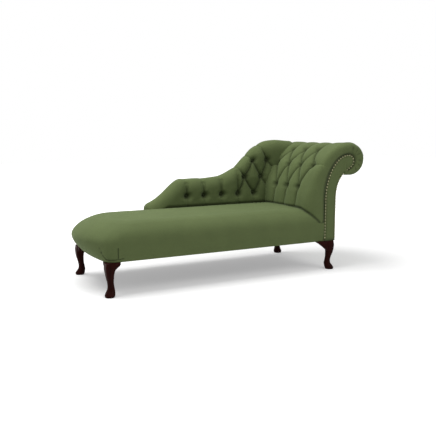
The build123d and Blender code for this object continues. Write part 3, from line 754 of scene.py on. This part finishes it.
sidePad = {
    "start": -383.5 * mm, "noseLength": 26.5 * mm, "noseHeight": 427 * mm, "noseDrop": 35.5 * mm,
    "ramp": 231 * mm, "low": 577 * mm, "flat": 175 * mm, "swan": 571 * mm,
    "swanBend": 332 * mm, "swanTopBend": 286 * mm, "high": 830 * mm,
    "rollX": 821.5 * mm, "rollTop": 816 * mm, "end": 774 * mm, "endSink": 13 * mm,
    # where the columns of the mesh stand on the bottom line, from the nose to the roll
    "swanAt": 400 * mm, "feet": (-379.5 * mm, -328.5 * mm, -126 * mm, 45 * mm, 420 * mm, 600 * mm),
    "sections": 400,
    "face": 218 * mm, "far": 317.5 * mm, "bottom": 288 * mm,
    "roundIn": 74 * mm, "roundDeep": 58 * mm, "farRound": 24 * mm, "wrap": 50 * mm,
    "rowsX": ((-100, 28, 162, 291, 419), (344, 478), (410, 526)),
    "rowsZ": (465, 577, 690),
    "buttonDepth": 38 * mm, "buttonReach": 48 * mm, "deepest": 42 * mm,
    "pleatDepth": 33 * mm, "pleatWidth": 70 * mm,
    "rippleHeight": 1.6 * mm, "rippleReach": 30 * mm,
    "lumpSize": 130 * mm, "lumpHeight": 1.3 * mm,
    "gusset": 13 * mm,          # half the width of the V fold above each low button
    "seatTuck": 8 * mm,
    # painted shade: how dark the folds, the cloth round the buttons and the tuck at the seat are painted
    "creaseShade": 0.80, "buttonShade": 0.9, "tuckShade": 0.75,
}

def sideLine(s, inset=0.0):
    # the serpentine top edge, from the chin of the nose to the roll, in pieces
    lean = 0.5 * inset
    nose = (s["start"] + s["noseLength"] + lean, s["noseHeight"] - inset + lean / 4)
    chin = (s["start"] + inset, nose[1] - s["noseDrop"])
    cheek = (chin[0] + 0.26 * (nose[0] - chin[0]), chin[1] + 0.62 * s["noseDrop"])
    low = (s["start"] + s["noseLength"] + s["ramp"], s["low"] - inset)
    rise = (low[0] + s["flat"], low[1])
    crest = (rise[0] + s["swan"], s["high"] - inset)
    slide = 0.8 * inset
    # the bends of each curve: the one after its start and the one before its end
    noseBends = (chin[0], chin[1] + 0.5 * s["noseDrop"]), (cheek[0] + 3 * mm, cheek[1] + 5 * mm)
    rampBends = (nose[0] + 0.44 * s["ramp"], nose[1] + s["noseDrop"]), (low[0] - 0.25 * s["ramp"], low[1])
    swanBends = (rise[0] + s["swanBend"] + slide, rise[1]), (crest[0] - s["swanTopBend"] + slide, crest[1])
    return [
        bezier(chin, *noseBends, nose, 16),
        bezier(nose, *rampBends, low, 60),
        lineTo(low, rise, 40),
        bezier(rise, *swanBends, crest, 140),
        lineTo(crest, (s["rollX"], s["rollTop"] - inset), 50),
    ]

def makeSidePad(s):
    top = joined(*sideLine(s))
    top = top[top[:, 0] < s["end"]]
    edge = joined(lineTo((s["start"], s["bottom"]), top[0], 24), top)
    total = lengths(edge)[-1]
    rows = s["sections"]
    edge = smoothed(resample(edge, np.linspace(0, total, rows)), 6)
    stations = lengths(edge)
    n = smoothed(profileNormals(edge), 20)
    # the columns turn slowly past the nose, so that they don't cross inside a bend
    past = smoothStep((edge[:, 0] - s["start"] - 70 * mm) / (70 * mm))[:, None]
    n = n * (1 - past) + smoothed(n, 110) * past
    n /= np.linalg.norm(n, axis=1, keepdims=True)
    # feet of the columns on the bottom line
    def stationAt(axis, value):
        return stations[int(np.argmin(np.abs(edge[:, axis] - value)))]
    chinAt = stationAt(1, s["noseHeight"] - s["noseDrop"])
    lowAt = stationAt(0, s["start"] + s["noseLength"] + s["ramp"])
    marks = (0, chinAt, lowAt, lowAt + s["flat"], stationAt(0, s["swanAt"]), total)
    footX = smoothed(np.interp(stations, marks, s["feet"]), 60)
    # each column: face, near rounding, crown, far rounding, wrapped tail and the hidden inside
    rounding, farRounding, face, crown = 22, 14, 96, 12
    shown = face + rounding - 1 + crown + farRounding
    columns = shown + 5
    turn = np.linspace(0, math.pi / 2, rounding)[1:]
    back = np.linspace(math.pi / 2, 0, farRounding)
    far = s["far"]
    grid = np.zeros((rows, columns, 3))
    cloth = np.zeros((rows, columns, 2))        # places on the flat cloth
    for i in range(rows):
        t, m = edge[i], n[i]
        foot = np.array([footX[i], s["bottom"]])
        inLimit = min(1.0, np.linalg.norm(t - foot) / (2.2 * s["roundIn"]))
        cut = s["roundIn"] * max(inLimit, 0.12)
        start = t - m * cut
        gap = np.linalg.norm(start - foot)
        column = bezier(foot, foot + np.array([0, 0.40 * gap]), start - m * min(0.03, 0.3 * gap), start, face)
        nearRound = t - m * (cut * (1 - np.sin(turn)))[:, None]
        nearY = s["face"] + s["roundDeep"] * (1 - np.cos(turn))
        free = smoothStep((t[1] - 312 * mm) / (80 * mm))    # square beside the seat's skirt
        farRound = s["farRound"] * free + 5 * mm * (1 - free)
        crownY = np.linspace(s["face"] + s["roundDeep"], far - farRound, crown + 2)[1:-1]
        farEdge = t - m * (farRound * (1 - np.sin(back)))[:, None]
        farY = far - farRound * (1 - np.cos(back))
        tail = t - m * np.linspace(farRound, s["wrap"], 3)[1:, None]
        wrapEnd = t - m * s["wrap"]
        hidden = [wrapEnd, wrapEnd * 0.5 + foot * 0.5, foot]
        flat = np.vstack([column, nearRound, np.tile(t, (crown, 1)), farEdge, tail, hidden])
        y = np.concatenate([np.full(face, s["face"]), nearY, crownY, farY,
                            (far, far, far - 10 * mm, far - 18 * mm, far - 18 * mm)])
        grid[i] = np.column_stack([flat[:, 0], y, flat[:, 1]])
        overEdge = (far - farRound - crownY[0]) + farRound * (math.pi / 2 - back)
        over = np.concatenate([np.zeros(face + rounding - 1), crownY - crownY[0] + 2 * mm,
                               overEdge, np.full(5, 0.10)])
        cloth[i] = flat + m * over[:, None]
    normals = gridNormals(grid[:, :shown])
    if normals[200, 40, 1] > 0:
        normals = -normals
    places = [(x * mm, z * mm) for xs, z in zip(s["rowsX"], s["rowsZ"]) for x in xs]
    low, middle, high = places[:5], places[5:7], places[7:]
    deep, wide = s["pleatDepth"], s["pleatWidth"]
    pleats = []
    def fold(a, b, da, db, width=wide, **more):
        pleats.append({"a": a, "b": b, "da": da, "db": db, "width": width, **more})
    def toEdge(place):
        # a fold from a button to the nearest place of the edge, and over it
        away = np.linalg.norm(edge - np.array(place), axis=1)
        i = int(np.argmin(away + 1e3 * (np.abs(edge[:, 0] - place[0]) > 0.14)))
        rim = tuple(edge[i])
        fold(place, rim, deep, 0.45 * deep)
        fold(rim, tuple(edge[i] + n[i] * 0.085), 0.45 * deep, 0.5 * mm, width=wide * 0.8)
    for place in low[:4]:
        near = edge[int(np.argmin(np.abs(edge[:, 0] - place[0]) + 1e3 * (edge[:, 1] < 0.44)))]
        rim = (near[0], near[1] - 30 * mm)
        fold(place, rim, 0.85 * deep, 0.42 * deep, width=0.054, spread=s["gusset"], lip=0.03)
        fold(rim, (near[0], near[1] + 30 * mm), 0.42 * deep, 0.3 * mm, width=0.06)
    for place in (middle[0], *high):
        toEdge(place)
    for place in low:
        fold((place[0], 0.36), place, 5 * mm, 17 * mm, width=0.058)
    for a, b, bow in ((low[3], middle[0], -3), (low[4], middle[0], 3), (low[4], middle[1], -3),
                      (middle[0], high[0], -3), (middle[1], high[0], 3), (middle[1], high[1], -3)):
        fold(a, b, deep, deep, lift=3 * mm, bow=bow * mm)
    fold(middle[1], (0.556, 0.470), deep, 0.8 * deep, lift=3 * mm)
    fold(high[1], (0.605, 0.600), deep, 0.7 * deep, lift=3 * mm)
    u, v = cloth[:, :shown, 0], cloth[:, :shown, 1]
    # drawn in along the seat
    outside = grid[:, :shown]
    deepLow = 1 - smoothStep((outside[:, :, 2] - seatHeight(s["face"]) + 2 * mm) / (24 * mm))
    deepLow[:, face:] = 0
    deepLow = deepLow * smoothStep((outside[:, :, 0] - s["start"] - 10 * mm) / (40 * mm))
    dent = tufted(u, v, pleats, places, s) + s["seatTuck"] * deepLow
    dent = dent - gathers(u, v, places, s["rippleHeight"], s["rippleReach"], 5)
    soft = roughness3d(outside.reshape(-1, 3), s["lumpSize"], 31).reshape(u.shape) * s["lumpHeight"]
    # everything goes flat toward the seam at the back
    keep = np.ones(shown)
    keep[-farRounding:] = np.linspace(1, 0, farRounding)
    outside -= normals * ((dent - soft) * keep[None, :])[:, :, None]
    # the end sinks into the roll
    sink = s["endSink"] * smoothStep((stations - total + 42 * mm) / (42 * mm)) ** 1.5
    grid[:, :, [0, 2]] -= (n * sink[:, None])[:, None, :]
    piece = newObject("side_back_cloth", grid.reshape(-1, 3), closedFaces(rows, columns), clothWool,
                      True, cloth.reshape(-1, 2))
    # painted shade: darker colour in the folds, round the buttons and along the tuck at the seat
    paintedShade = np.zeros((rows, columns))
    paintedShade[:, :shown] = darkest(
        smoothStep((dent - 6 * mm) / (34 * mm)) * s["creaseShade"],
        nearButtons(u, v, places) * s["buttonShade"], deepLow * s["tuckShade"])
    addPaintedShade(piece, paintedShade)
    fixNormals(piece)
    seats = [(Vector((x, s["face"], z)), Vector((0, -1, 0))) for x, z in places]
    return piece, seats

sidePiece, sideSeats = makeSidePad(sidePad)
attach(sidePiece, "root")
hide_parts("side_pad")
print("side back made")

# covered buttons

# the buttons are painted dark all over with painted shade
button = {"radius": 10.5 * mm, "height": 6.5 * mm, "sunk": 39.5 * mm, "paintedShade": 0.8, "sides": 28}

def buttonProfile(s):
    r, h = s["radius"], s["height"]
    return [(0.0, h), (0.35 * r, 0.97 * h), (0.68 * r, 0.82 * h), (0.90 * r, 0.52 * h), (1.0 * r, 0.18 * h),
            (0.97 * r, -0.10 * h), (0.80 * r, -0.30 * h), (0.0, -0.30 * h)]

def makeButtons(name, seats, s):
    points, faces, uv = [], [], []
    for place, outward in seats:
        turn = outward.to_track_quat("Z", "Y")
        origin = place - outward * s["sunk"]
        rings = buttonProfile(s)
        start = len(points)
        for r, h in rings[1:-1]:
            for k in range(s["sides"]):
                a = 2 * math.pi * k / s["sides"]
                spot = (r * math.cos(a), r * math.sin(a))
                points.append(origin + turn @ Vector((*spot, h)))
                uv.append(spot)
        rows = len(rings) - 2
        faces += gridFaces(rows, s["sides"], True, start)
        crown = len(points)
        foot = crown + 1
        for h in (rings[0][1], rings[-1][1]):
            points.append(origin + turn @ Vector((0, 0, h)))
            uv.append((0, 0))
        for k in range(s["sides"]):
            nextK = (k + 1) % s["sides"]
            faces.append((start + nextK, start + k, crown))
            base = start + (rows - 1) * s["sides"]
            faces.append((base + k, base + nextK, foot))
    piece = newObject(name, points, faces, clothWool, True, uv)
    # painted shade: every point of the buttons is darkened by the same share
    addPaintedShade(piece, [s["paintedShade"]] * len(points))
    fixNormals(piece)
    return piece

headButtons = makeButtons("head_covered_buttons", headSeats, button)
sideButtons = makeButtons("side_covered_buttons", sideSeats, button)
for piece, node in ((headButtons, "head_buttons"), (sideButtons, "side_buttons")):
    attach(piece, "root")
    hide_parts(node)
print("buttons made")

# facings, outside covers and nails

facing = {
    "face": 319 * mm, "thick": 6 * mm, "edge": 3 * mm, "spacing": 5 * mm, "filling": 14 * mm,
    "swell": 2.5 * mm, "backSwell": 3 * mm, "swellReach": 18 * mm,
    # painted shade along the edges of the boards
    "edgeShade": 0.55, "shadeReach": 4 * mm,
}

def even(loop, spacing):
    # a closed outline with evenly spaced points
    closed = np.vstack([loop, loop[:1]])
    total = lengths(closed)[-1]
    return resample(closed, np.linspace(0, total, int(round(total / spacing)) + 1)[:-1])

def inward(loop, amount):
    # moves a closed outline in along its own normals
    t = np.roll(loop, -1, axis=0) - np.roll(loop, 1, axis=0)
    t /= np.maximum(np.linalg.norm(t, axis=1, keepdims=True), 1e-9)
    area = np.sum(loop[:, 0] * np.roll(loop[:, 1], -1) - np.roll(loop[:, 0], -1) * loop[:, 1])
    return loop + np.stack([-t[:, 1], t[:, 0]], 1) * amount * np.sign(area)

def edgeDistance(points, loop):
    # how far each point lies inside a closed outline
    best = np.full(len(points), 1e3)
    for a, b in zip(loop, np.roll(loop, -1, axis=0)):
        ab = b - a
        t = np.clip(((points - a) @ ab) / max(ab @ ab, 1e-12), 0, 1)
        best = np.minimum(best, np.linalg.norm(points - a - t[:, None] * ab, axis=1))
    return best

def isInside(points, loop):
    inside = np.zeros(len(points), bool)
    for a, b in zip(loop, np.roll(loop, -1, axis=0)):
        crosses = (a[1] > points[:, 1]) != (b[1] > points[:, 1])
        span = b[1] - a[1] if abs(b[1] - a[1]) > 1e-12 else 1e-12
        inside ^= crosses & (points[:, 0] < a[0] + (points[:, 1] - a[1]) / span * (b[0] - a[0]))
    return inside

def filled(loop, spacing):
    # an outline filled with a fine mesh: its points, its triangles and each point's distance to the edge
    low, high = loop.min(axis=0), loop.max(axis=0)
    across = np.arange(low[0] + spacing / 2, high[0], spacing)
    up = np.arange(low[1] + spacing / 2, high[1], spacing)
    grid = np.stack(np.meshgrid(across, up), 2).reshape(-1, 2)
    grid = grid[isInside(grid, loop)]
    far = edgeDistance(grid, loop)
    grid = grid[far > 0.45 * spacing]
    points = np.vstack([loop, grid])
    edges = [(i, (i + 1) % len(loop)) for i in range(len(loop))]
    flat, _, faces, _, _, _ = delaunay_2d_cdt([Vector(p) for p in points], edges, [], 1, 1e-7)
    flat = np.array([tuple(p) for p in flat])
    distance = np.concatenate([np.zeros(len(loop)), edgeDistance(flat[len(loop):], loop)])
    return flat, [tuple(f) for f in faces], distance

def coveredPlate(name, outline, s, side, swell):
    # a cloth-covered board: rounded edge, faintly padded face
    outer = even(outline, s["spacing"])
    y0, y1 = s["face"] - s["thick"], s["face"]
    steps = [(0.0, y0), (0.0, y1 - s["edge"]), (0.30 * s["edge"], y1 - 0.29 * s["edge"]), (s["edge"], y1)]
    rings = [(inward(outer, amount), y) for amount, y in steps]
    flat, triangles, distance = filled(rings[-1][0], s["filling"])
    count = len(outer)
    points = [np.column_stack([line[:, 0], np.full(count, side * y), line[:, 1]]) for line, y in rings[:-1]]
    rise = y1 + swell * (1 - np.exp(-(distance / s["swellReach"]) ** 1.5))
    points.append(np.column_stack([flat[:, 0], side * rise, flat[:, 1]]))
    points = np.concatenate(points)
    faces = gridFaces(len(rings), count, True)
    start = (len(rings) - 1) * count
    faces += [tuple(start + i for i in f) for f in triangles]
    faces.append(tuple(reversed(range(count))))
    piece = newObject(name, points, faces, clothWool, True, points[:, [0, 2]])
    # painted shade: darker colour along the board's edge, where it meets the pad
    fromEdge = np.concatenate([np.zeros(start), distance])
    addPaintedShade(piece, s["edgeShade"] * np.exp(-fromEdge / s["shadeReach"]))
    fixNormals(piece)
    return piece

nearFacing = coveredPlate("near_facing_cloth", crookLine(), facing, -1, facing["swell"])
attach(nearFacing, "root")
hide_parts("facing_cover_near")

outsideBack = {"wrap": 36 * mm, "gap": 0.5 * mm, "endTop": 292 * mm}

def backOutline(s, pad):
    # the flat outside back: sunk under the rolled edge, stopped by the roll and joined to the crook
    roll = np.array([pad["rollX"], pad["rollZ"]])
    radius = pad["rollRadius"] + s["gap"]
    top = joined(*sideLine(sidePad, s["wrap"]))
    top = top[np.linalg.norm(top - roll, axis=1) > radius]
    shape = crookLine()
    meet = int(np.argmax(np.linalg.norm(shape - roll, axis=1) < radius))
    turns = [math.degrees(math.atan2(p[1] - roll[1], p[0] - roll[0])) % 360 for p in (top[-1], shape[meet])]
    besideRoll = arc(roll, radius, radius, turns[0], turns[1], 24)
    start, bottom = sidePad["start"], crook["bottom"]
    end = np.array([(start, bottom), (start, s["endTop"]), (top[0][0], s["endTop"])])
    return np.vstack([end, top, besideRoll[1:-1], shape[meet:]])

backLine = backOutline(outsideBack, headPad)
farBack = coveredPlate("outside_back_cloth", backLine, facing, 1, facing["backSwell"])
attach(farBack, "root")
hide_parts("outside_back_cover")

nails = {
    "radius": 4.8 * mm, "height": 2.6 * mm, "pitch": 19 * mm, "margin": 3.6 * mm, "sides": 10,
    "lowest": 196 * mm, "nearLift": 0.4 * mm, "farLift": 0.6 * mm,
}

def nailHeads(name, line, y, side, s):
    total = lengths(line)[-1]
    count = int(total / s["pitch"])
    places = resample(line, np.linspace(s["pitch"] * 0.5, total - s["pitch"] * 0.5, count))
    points, faces = [], []
    rings = [(1.0, -0.5), (1.0, 0.12), (0.90, 0.45), (0.68, 0.76), (0.36, 0.95)]
    for x, z in places:
        start = len(points)
        for r, h in rings:
            for k in range(s["sides"]):
                a = 2 * math.pi * k / s["sides"]
                points.append((x + s["radius"] * r * math.cos(a), y + side * s["height"] * h,
                               z + s["radius"] * r * math.sin(a)))
        faces += gridFaces(len(rings), s["sides"], True, start)
        crown = len(points)
        points.append((x, y + side * s["height"], z))
        top = start + (len(rings) - 1) * s["sides"]
        for k in range(s["sides"]):
            faces.append((top + k, top + (k + 1) % s["sides"], crown))
        faces.append(tuple(start + k for k in reversed(range(s["sides"]))))
    piece = newObject(name, points, faces, agedBrass, True)
    fixNormals(piece)
    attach(piece, "root")
    return piece

nailLine = crookLine(-nails["margin"])
nailLine = nailLine[nailLine[:, 1] > nails["lowest"]]
nailHeads("near_facing_nails", nailLine, -facing["face"] - nails["nearLift"], -1, nails)
# on the far side they follow only the free edge: round the scroll and down the back
rollAway = np.linalg.norm(nailLine - np.array([headPad["rollX"], headPad["rollZ"]]), axis=1)
farLine = nailLine[int(np.argmax(rollAway < headPad["rollRadius"])):]
nailHeads("far_facing_nails", farLine, facing["face"] + nails["farLift"], 1, nails)

headOutside = {
    "thick": 3 * mm, "thin": 0.5 * mm, "halfWidth": 313 * mm, "swell": 2.5 * mm, "sections": 90,
    "startX": 800 * mm, "startZ": 665 * mm, "top": 655 * mm,       # it starts under the roll
    "reach": 770 * mm,
}

def makeHeadOutside(s):
    line = crookLine()
    start = int(np.argmax((line[:, 0] > s["startX"]) & (line[:, 1] < s["startZ"])))
    tail = line[start:]
    tail = tail[tail[:, 1] < s["top"]]
    tail = resample(tail, np.linspace(0, lengths(tail)[-1], s["sections"]))
    tail = tail[tail[:, 0] < s["reach"]]
    n = profileNormals(tail)
    across = np.linspace(-1, 1, 90)
    y = np.broadcast_to(s["halfWidth"] * across, (len(tail), len(across)))
    lift = np.where(np.abs(across) > 0.995, s["thin"], s["thick"]) + s["swell"] * (1 - across ** 8)
    outer = offProfile(tail, n, y, lift[None, :])
    inner = offProfile(tail, n, y, 0.0)
    loop = np.concatenate([outer, inner[:, ::-1]], axis=1)
    uv = np.stack(np.broadcast_arrays(loop[:, :, 1], lengths(tail)[:, None]), 2).reshape(-1, 2)
    faces = closedFaces(*loop.shape[:2])
    piece = newObject("head_outside_cloth", loop.reshape(-1, 3), faces, clothWool, True, uv)
    fixNormals(piece)
    return piece

headBack = makeHeadOutside(headOutside)
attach(headBack, "root")
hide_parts("head_outside_cover")
print("facings, outside covers and nails made")

# dust cover under the frame

dustCover = {
    "half": 299 * mm, "front": -832.5 * mm, "back": 701 * mm, "bow": 28 * mm, "corner": 40 * mm,
    "top": 187.9 * mm, "thick": 0.8 * mm, "sag": 2.5 * mm, "ripple": 0.5 * mm, "rings": 26,
}

def makeDustCover(s):
    plan = seatRing(s["half"], s["front"], s["bow"], s["corner"],
                    {"headX": s["back"], "backGapX": 0.0, "backGapY": s["half"]})
    plan = even(plan, 16 * mm)
    spine = np.zeros_like(plan)
    spine[:, 0] = np.clip(plan[:, 0], s["front"] + s["half"], s["back"] - s["half"])
    shares = np.linspace(1, 0.02, s["rings"])
    rings = np.array([spine + (plan - spine) * share for share in shares])
    ripple = roughness3d(np.dstack([rings, np.zeros(rings.shape[:2])]).reshape(-1, 3), 0.16, 8)
    sag = (1 - shares[:, None] ** 3) * (s["sag"] + s["ripple"] * ripple.reshape(rings.shape[:2]))
    top = np.dstack([rings, s["top"] - sag])
    under = top - np.array([0, 0, s["thick"]])
    points = np.concatenate([top[::-1], under])
    faces = closedFaces(*points.shape[:2])
    piece = newObject("dust_cover_cloth", points.reshape(-1, 3), faces, blackCambric, True)
    fixNormals(piece)
    return piece, (2 * s["half"], s["back"] - s["front"])

dustPiece, dustSize = makeDustCover(dustCover)
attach(dustPiece, "root")
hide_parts("dust_cover")

# cabriole legs

leg = {
    "x": {"foot": -813.2 * mm, "head": 672.2 * mm}, "y": 304 * mm,
    "levels": (     # height, width, set in from the corner, roundness
        (0, 50, 0, 1), (3.6, 55, 0, 1), (12.5, 58, 1, 1), (26, 52, 6, 1), (41, 42, 11, 1), (58, 36, 10, 0.95),
        (80, 35, 7, 0.85), (109, 42, 3, 0.65), (130, 46, 1.5, 0.5), (160, 58, 5, 0.42), (188, 54, 7.5, 0.3),
    ),
    "earReach": {"foot": 62 * mm, "head": 115 * mm}, "earTip": {"foot": 19 * mm, "head": 4 * mm},
    "earHollow": {"foot": 1.5, "head": 1.25}, "earDepth": {"foot": 58 * mm, "head": 74 * mm},
    "earRoot": 16 * mm, "earFace": 19 * mm, "earThick": 31 * mm, "earRound": 9 * mm,
    "top": 187.9 * mm,
}

def legRing(half, roundness, count=11):
    r = roundness * half
    points = []
    for k in range(4):
        turn = np.radians(np.linspace(90 * k + 3, 90 * k + 87, count))
        corner = math.radians(90 * k + 45)
        middle = np.sign([math.cos(corner), math.sin(corner)]) * (half - r)
        points.append(np.column_stack([middle[0] + r * np.cos(turn), middle[1] + r * np.sin(turn)]))
    return np.concatenate(points)

def shaftGrid(s):
    levels = np.array(s["levels"], float)
    heights = np.concatenate([np.linspace(0, 30, 16), np.linspace(33, levels[-1][0], 50)])
    sizes = smoothed(np.column_stack([np.interp(heights, levels[:, 0], levels[:, i]) for i in (1, 2, 3)]), 5)
    rings = []
    for z, (width, setIn, roundness) in zip(heights, sizes):
        ring = legRing(width / 2, roundness) - setIn
        rings.append(np.column_stack([ring, np.full(len(ring), z)]))
    return np.array(rings) * mm

def earGrid(s, end):
    # sections along the rail, from inside the knee to the tip
    rings = []
    names = ("earReach", "earTip", "earDepth", "earHollow")
    reach, thinnest, deepest, hollow = (s[name][end] for name in names)
    for share in np.linspace(0, 1, 30):
        along = -(s["earRoot"] + (reach - s["earRoot"]) * share)
        depth = thinnest + (deepest - thinnest) * (1 - share) ** hollow
        tip = smoothStep((share - 0.86) / 0.14)
        depth = depth * (1 - 0.25 * tip)
        outer = s["earFace"] - 2.5 * mm * share - 5 * mm * tip
        inner = s["earFace"] - s["earThick"] + 4 * mm * tip
        r = min(s["earRound"], 0.45 * depth)
        low = s["top"] - depth
        turn = np.radians(np.linspace(0, -90, 8))
        outside = np.column_stack([outer - r + r * np.cos(turn), low + r + r * np.sin(turn)])
        turn = np.radians(np.linspace(-90, -180, 8))
        inside = np.column_stack([inner + r + r * np.cos(turn), low + r + r * np.sin(turn)])
        section = np.vstack([[(inner, s["top"]), (outer, s["top"])], outside, inside])
        rings.append(np.column_stack([np.full(len(section), along), section]))
    return np.array(rings)

def placedGrid(grid, x, y, towardX, towardY):
    out = grid.copy()
    out[:, :, 0] = x + towardX * grid[:, :, 0]
    out[:, :, 1] = towardY * (y + grid[:, :, 1])
    return out

def solidOf(name, grids):
    # closed solids, one for each grid of rings
    points, faces = [], []
    for grid in grids:
        start = sum(len(p) for p in points)
        rows, count = grid.shape[:2]
        faces += closedFaces(rows, count, start)
        points.append(grid.reshape(-1, 3))
    piece = newObject(name, np.concatenate(points), faces, darkWood)
    fixNormals(piece)
    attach(piece, "root")
    return piece

def makeLegs(s):
    for end, towardX in (("foot", -1), ("head", 1)):
        ear = earGrid(s, end)
        across = ear[:, :, [1, 0, 2]]
        for side, towardY in (("near", -1), ("far", 1)):
            where = (s["x"][end], s["y"], towardX, towardY)
            shaft = solidOf(f"cabriole_{side}_{end}", [placedGrid(shaftGrid(s), *where)])
            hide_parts(f"leg_{side}_{end}")
            ears = solidOf(f"ears_{side}_{end}", [placedGrid(ear, *where), placedGrid(across, *where)])
            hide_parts(f"leg_ears_{side}_{end}")

makeLegs(leg)
print("legs made")

# finishes on the CAD pieces that stay

finishes = {
    "mahogany": darkWood, "beech": beechWood, "board": millboard, "webbing": juteWeb,
    "hessian": juteSheet, "steel": zincSteel, "wool": clothWool, "foam": stuffing,
    "dust_cloth": blackCambric, "nail_brass": agedBrass,
}
slotOf = {part["node"]: part["material_slot"] for part in frame["record"]["subparts"]}
for name, node in frame["nodes"].items():
    finish = finishes[slotOf[name]]
    if not node.data.materials:
        node.data.materials.append(finish)
    for place in range(len(node.data.materials)):
        node.data.materials[place] = finish
print("CAD pieces finished")

# floor, light and camera

studio = {
    "floor": (0.80, 0.80, 0.80), "floorSize": 28.0,
    "floorGlow": 0.32, "farGlow": 1.0, "glowFrom": 0.9, "glowTo": 3.2,     # metres from the middle
    "world": 0.40,
    "lamps": (      # name, place, what it points at, width, height, watts
        ("keyLight", (-1.3, 0.45, 3.7), (0.0, 0.0, 0.3), 2.9, 2.9, 138.0),
        ("fillLight", (1.5, -2.7, 3.2), (0.2, 0.0, 0.4), 2.2, 1.8, 29.0),
    ),
}

def lamp(name, place, target, width, height, power):
    data = bpy.data.lights.new(name, "AREA")
    data.shape = "RECTANGLE"
    data.size, data.size_y = width, height
    data.energy = power
    thing = bpy.data.objects.new(name, data)
    bpy.context.scene.collection.objects.link(thing)
    thing.location = place
    thing.rotation_euler = (Vector(target) - Vector(place)).to_track_quat("-Z", "Y").to_euler()

def makeFloor(s):
    n, place = newFinish("paleFloor")
    path = n.add("ShaderNodeLightPath").outputs
    speck = n.noise(place["Object"], 3, 2)
    # its glow is for the eye and for gloss only, and grows with the distance from the middle
    seen = n.number("MAXIMUM", path["Is Camera Ray"], path["Is Glossy Ray"])
    reach = n.add("ShaderNodeVectorMath", operation="LENGTH")
    n.link(place["Object"], reach.inputs[0])
    glow = n.add("ShaderNodeMapRange", interpolation_type="SMOOTHSTEP")
    n.link(reach.outputs["Value"], glow.inputs["Value"])
    for socket, value in (("From Min", s["glowFrom"]), ("From Max", s["glowTo"]),
                          ("To Min", s["floorGlow"]), ("To Max", s["farGlow"])):
        glow.inputs[socket].default_value = value
    n.feed({"Base Color": n.mix(speck, tuple(c * 0.99 for c in s["floor"]), s["floor"]),
            "Emission Strength": n.number("MULTIPLY", seen, glow.outputs["Result"])})
    n.hold({"Roughness": 0.9, "Specular IOR Level": 0.1, "Emission Color": (1, 1, 1, 1)})
    half = s["floorSize"] / 2
    corners = [(-half, -half, 0), (half, -half, 0), (half, half, 0), (-half, half, 0)]
    floor = newObject("floor", corners, [(0, 1, 2, 3)], n.owner, False)

def makeWorld(s):
    world = bpy.data.worlds.new("studio")
    bpy.context.scene.world = world
    n = Nodes(world, "Background")
    rays = n.add("ShaderNodeLightPath").outputs
    # white where it is seen, also in gloss and through glass, and dimmer as light
    seen = n.number("MAXIMUM", rays["Is Camera Ray"], rays["Is Glossy Ray"])
    seen = n.number("MAXIMUM", seen, rays["Is Transmission Ray"])
    level = n.add("ShaderNodeMapRange")
    n.link(seen, level.inputs["Value"])
    level.inputs["To Min"].default_value = s["world"]
    n.feed({"Strength": level.outputs["Result"]})
    n.hold({"Color": (1, 1, 1, 1)})

makeFloor(studio)
makeWorld(studio)
for values in studio["lamps"]:
    lamp(*values)

view = {
    "place": (-1.77086, -3.35797, 0.88340),
    "turn": (81.8625, 0.0, -27.9315),
    "lens": 49.455,
}

def makeCamera(s):
    data = bpy.data.cameras.new("camera")
    data.sensor_fit = "HORIZONTAL"
    data.sensor_width = 36
    data.lens = s["lens"]
    thing = bpy.data.objects.new("camera", data)
    bpy.context.scene.collection.objects.link(thing)
    thing.location = s["place"]
    thing.rotation_euler = tuple(math.radians(a) for a in s["turn"])
    bpy.context.scene.camera = thing

makeCamera(view)
bpy.context.scene.view_settings.view_transform = "Standard"
print("studio and camera set")
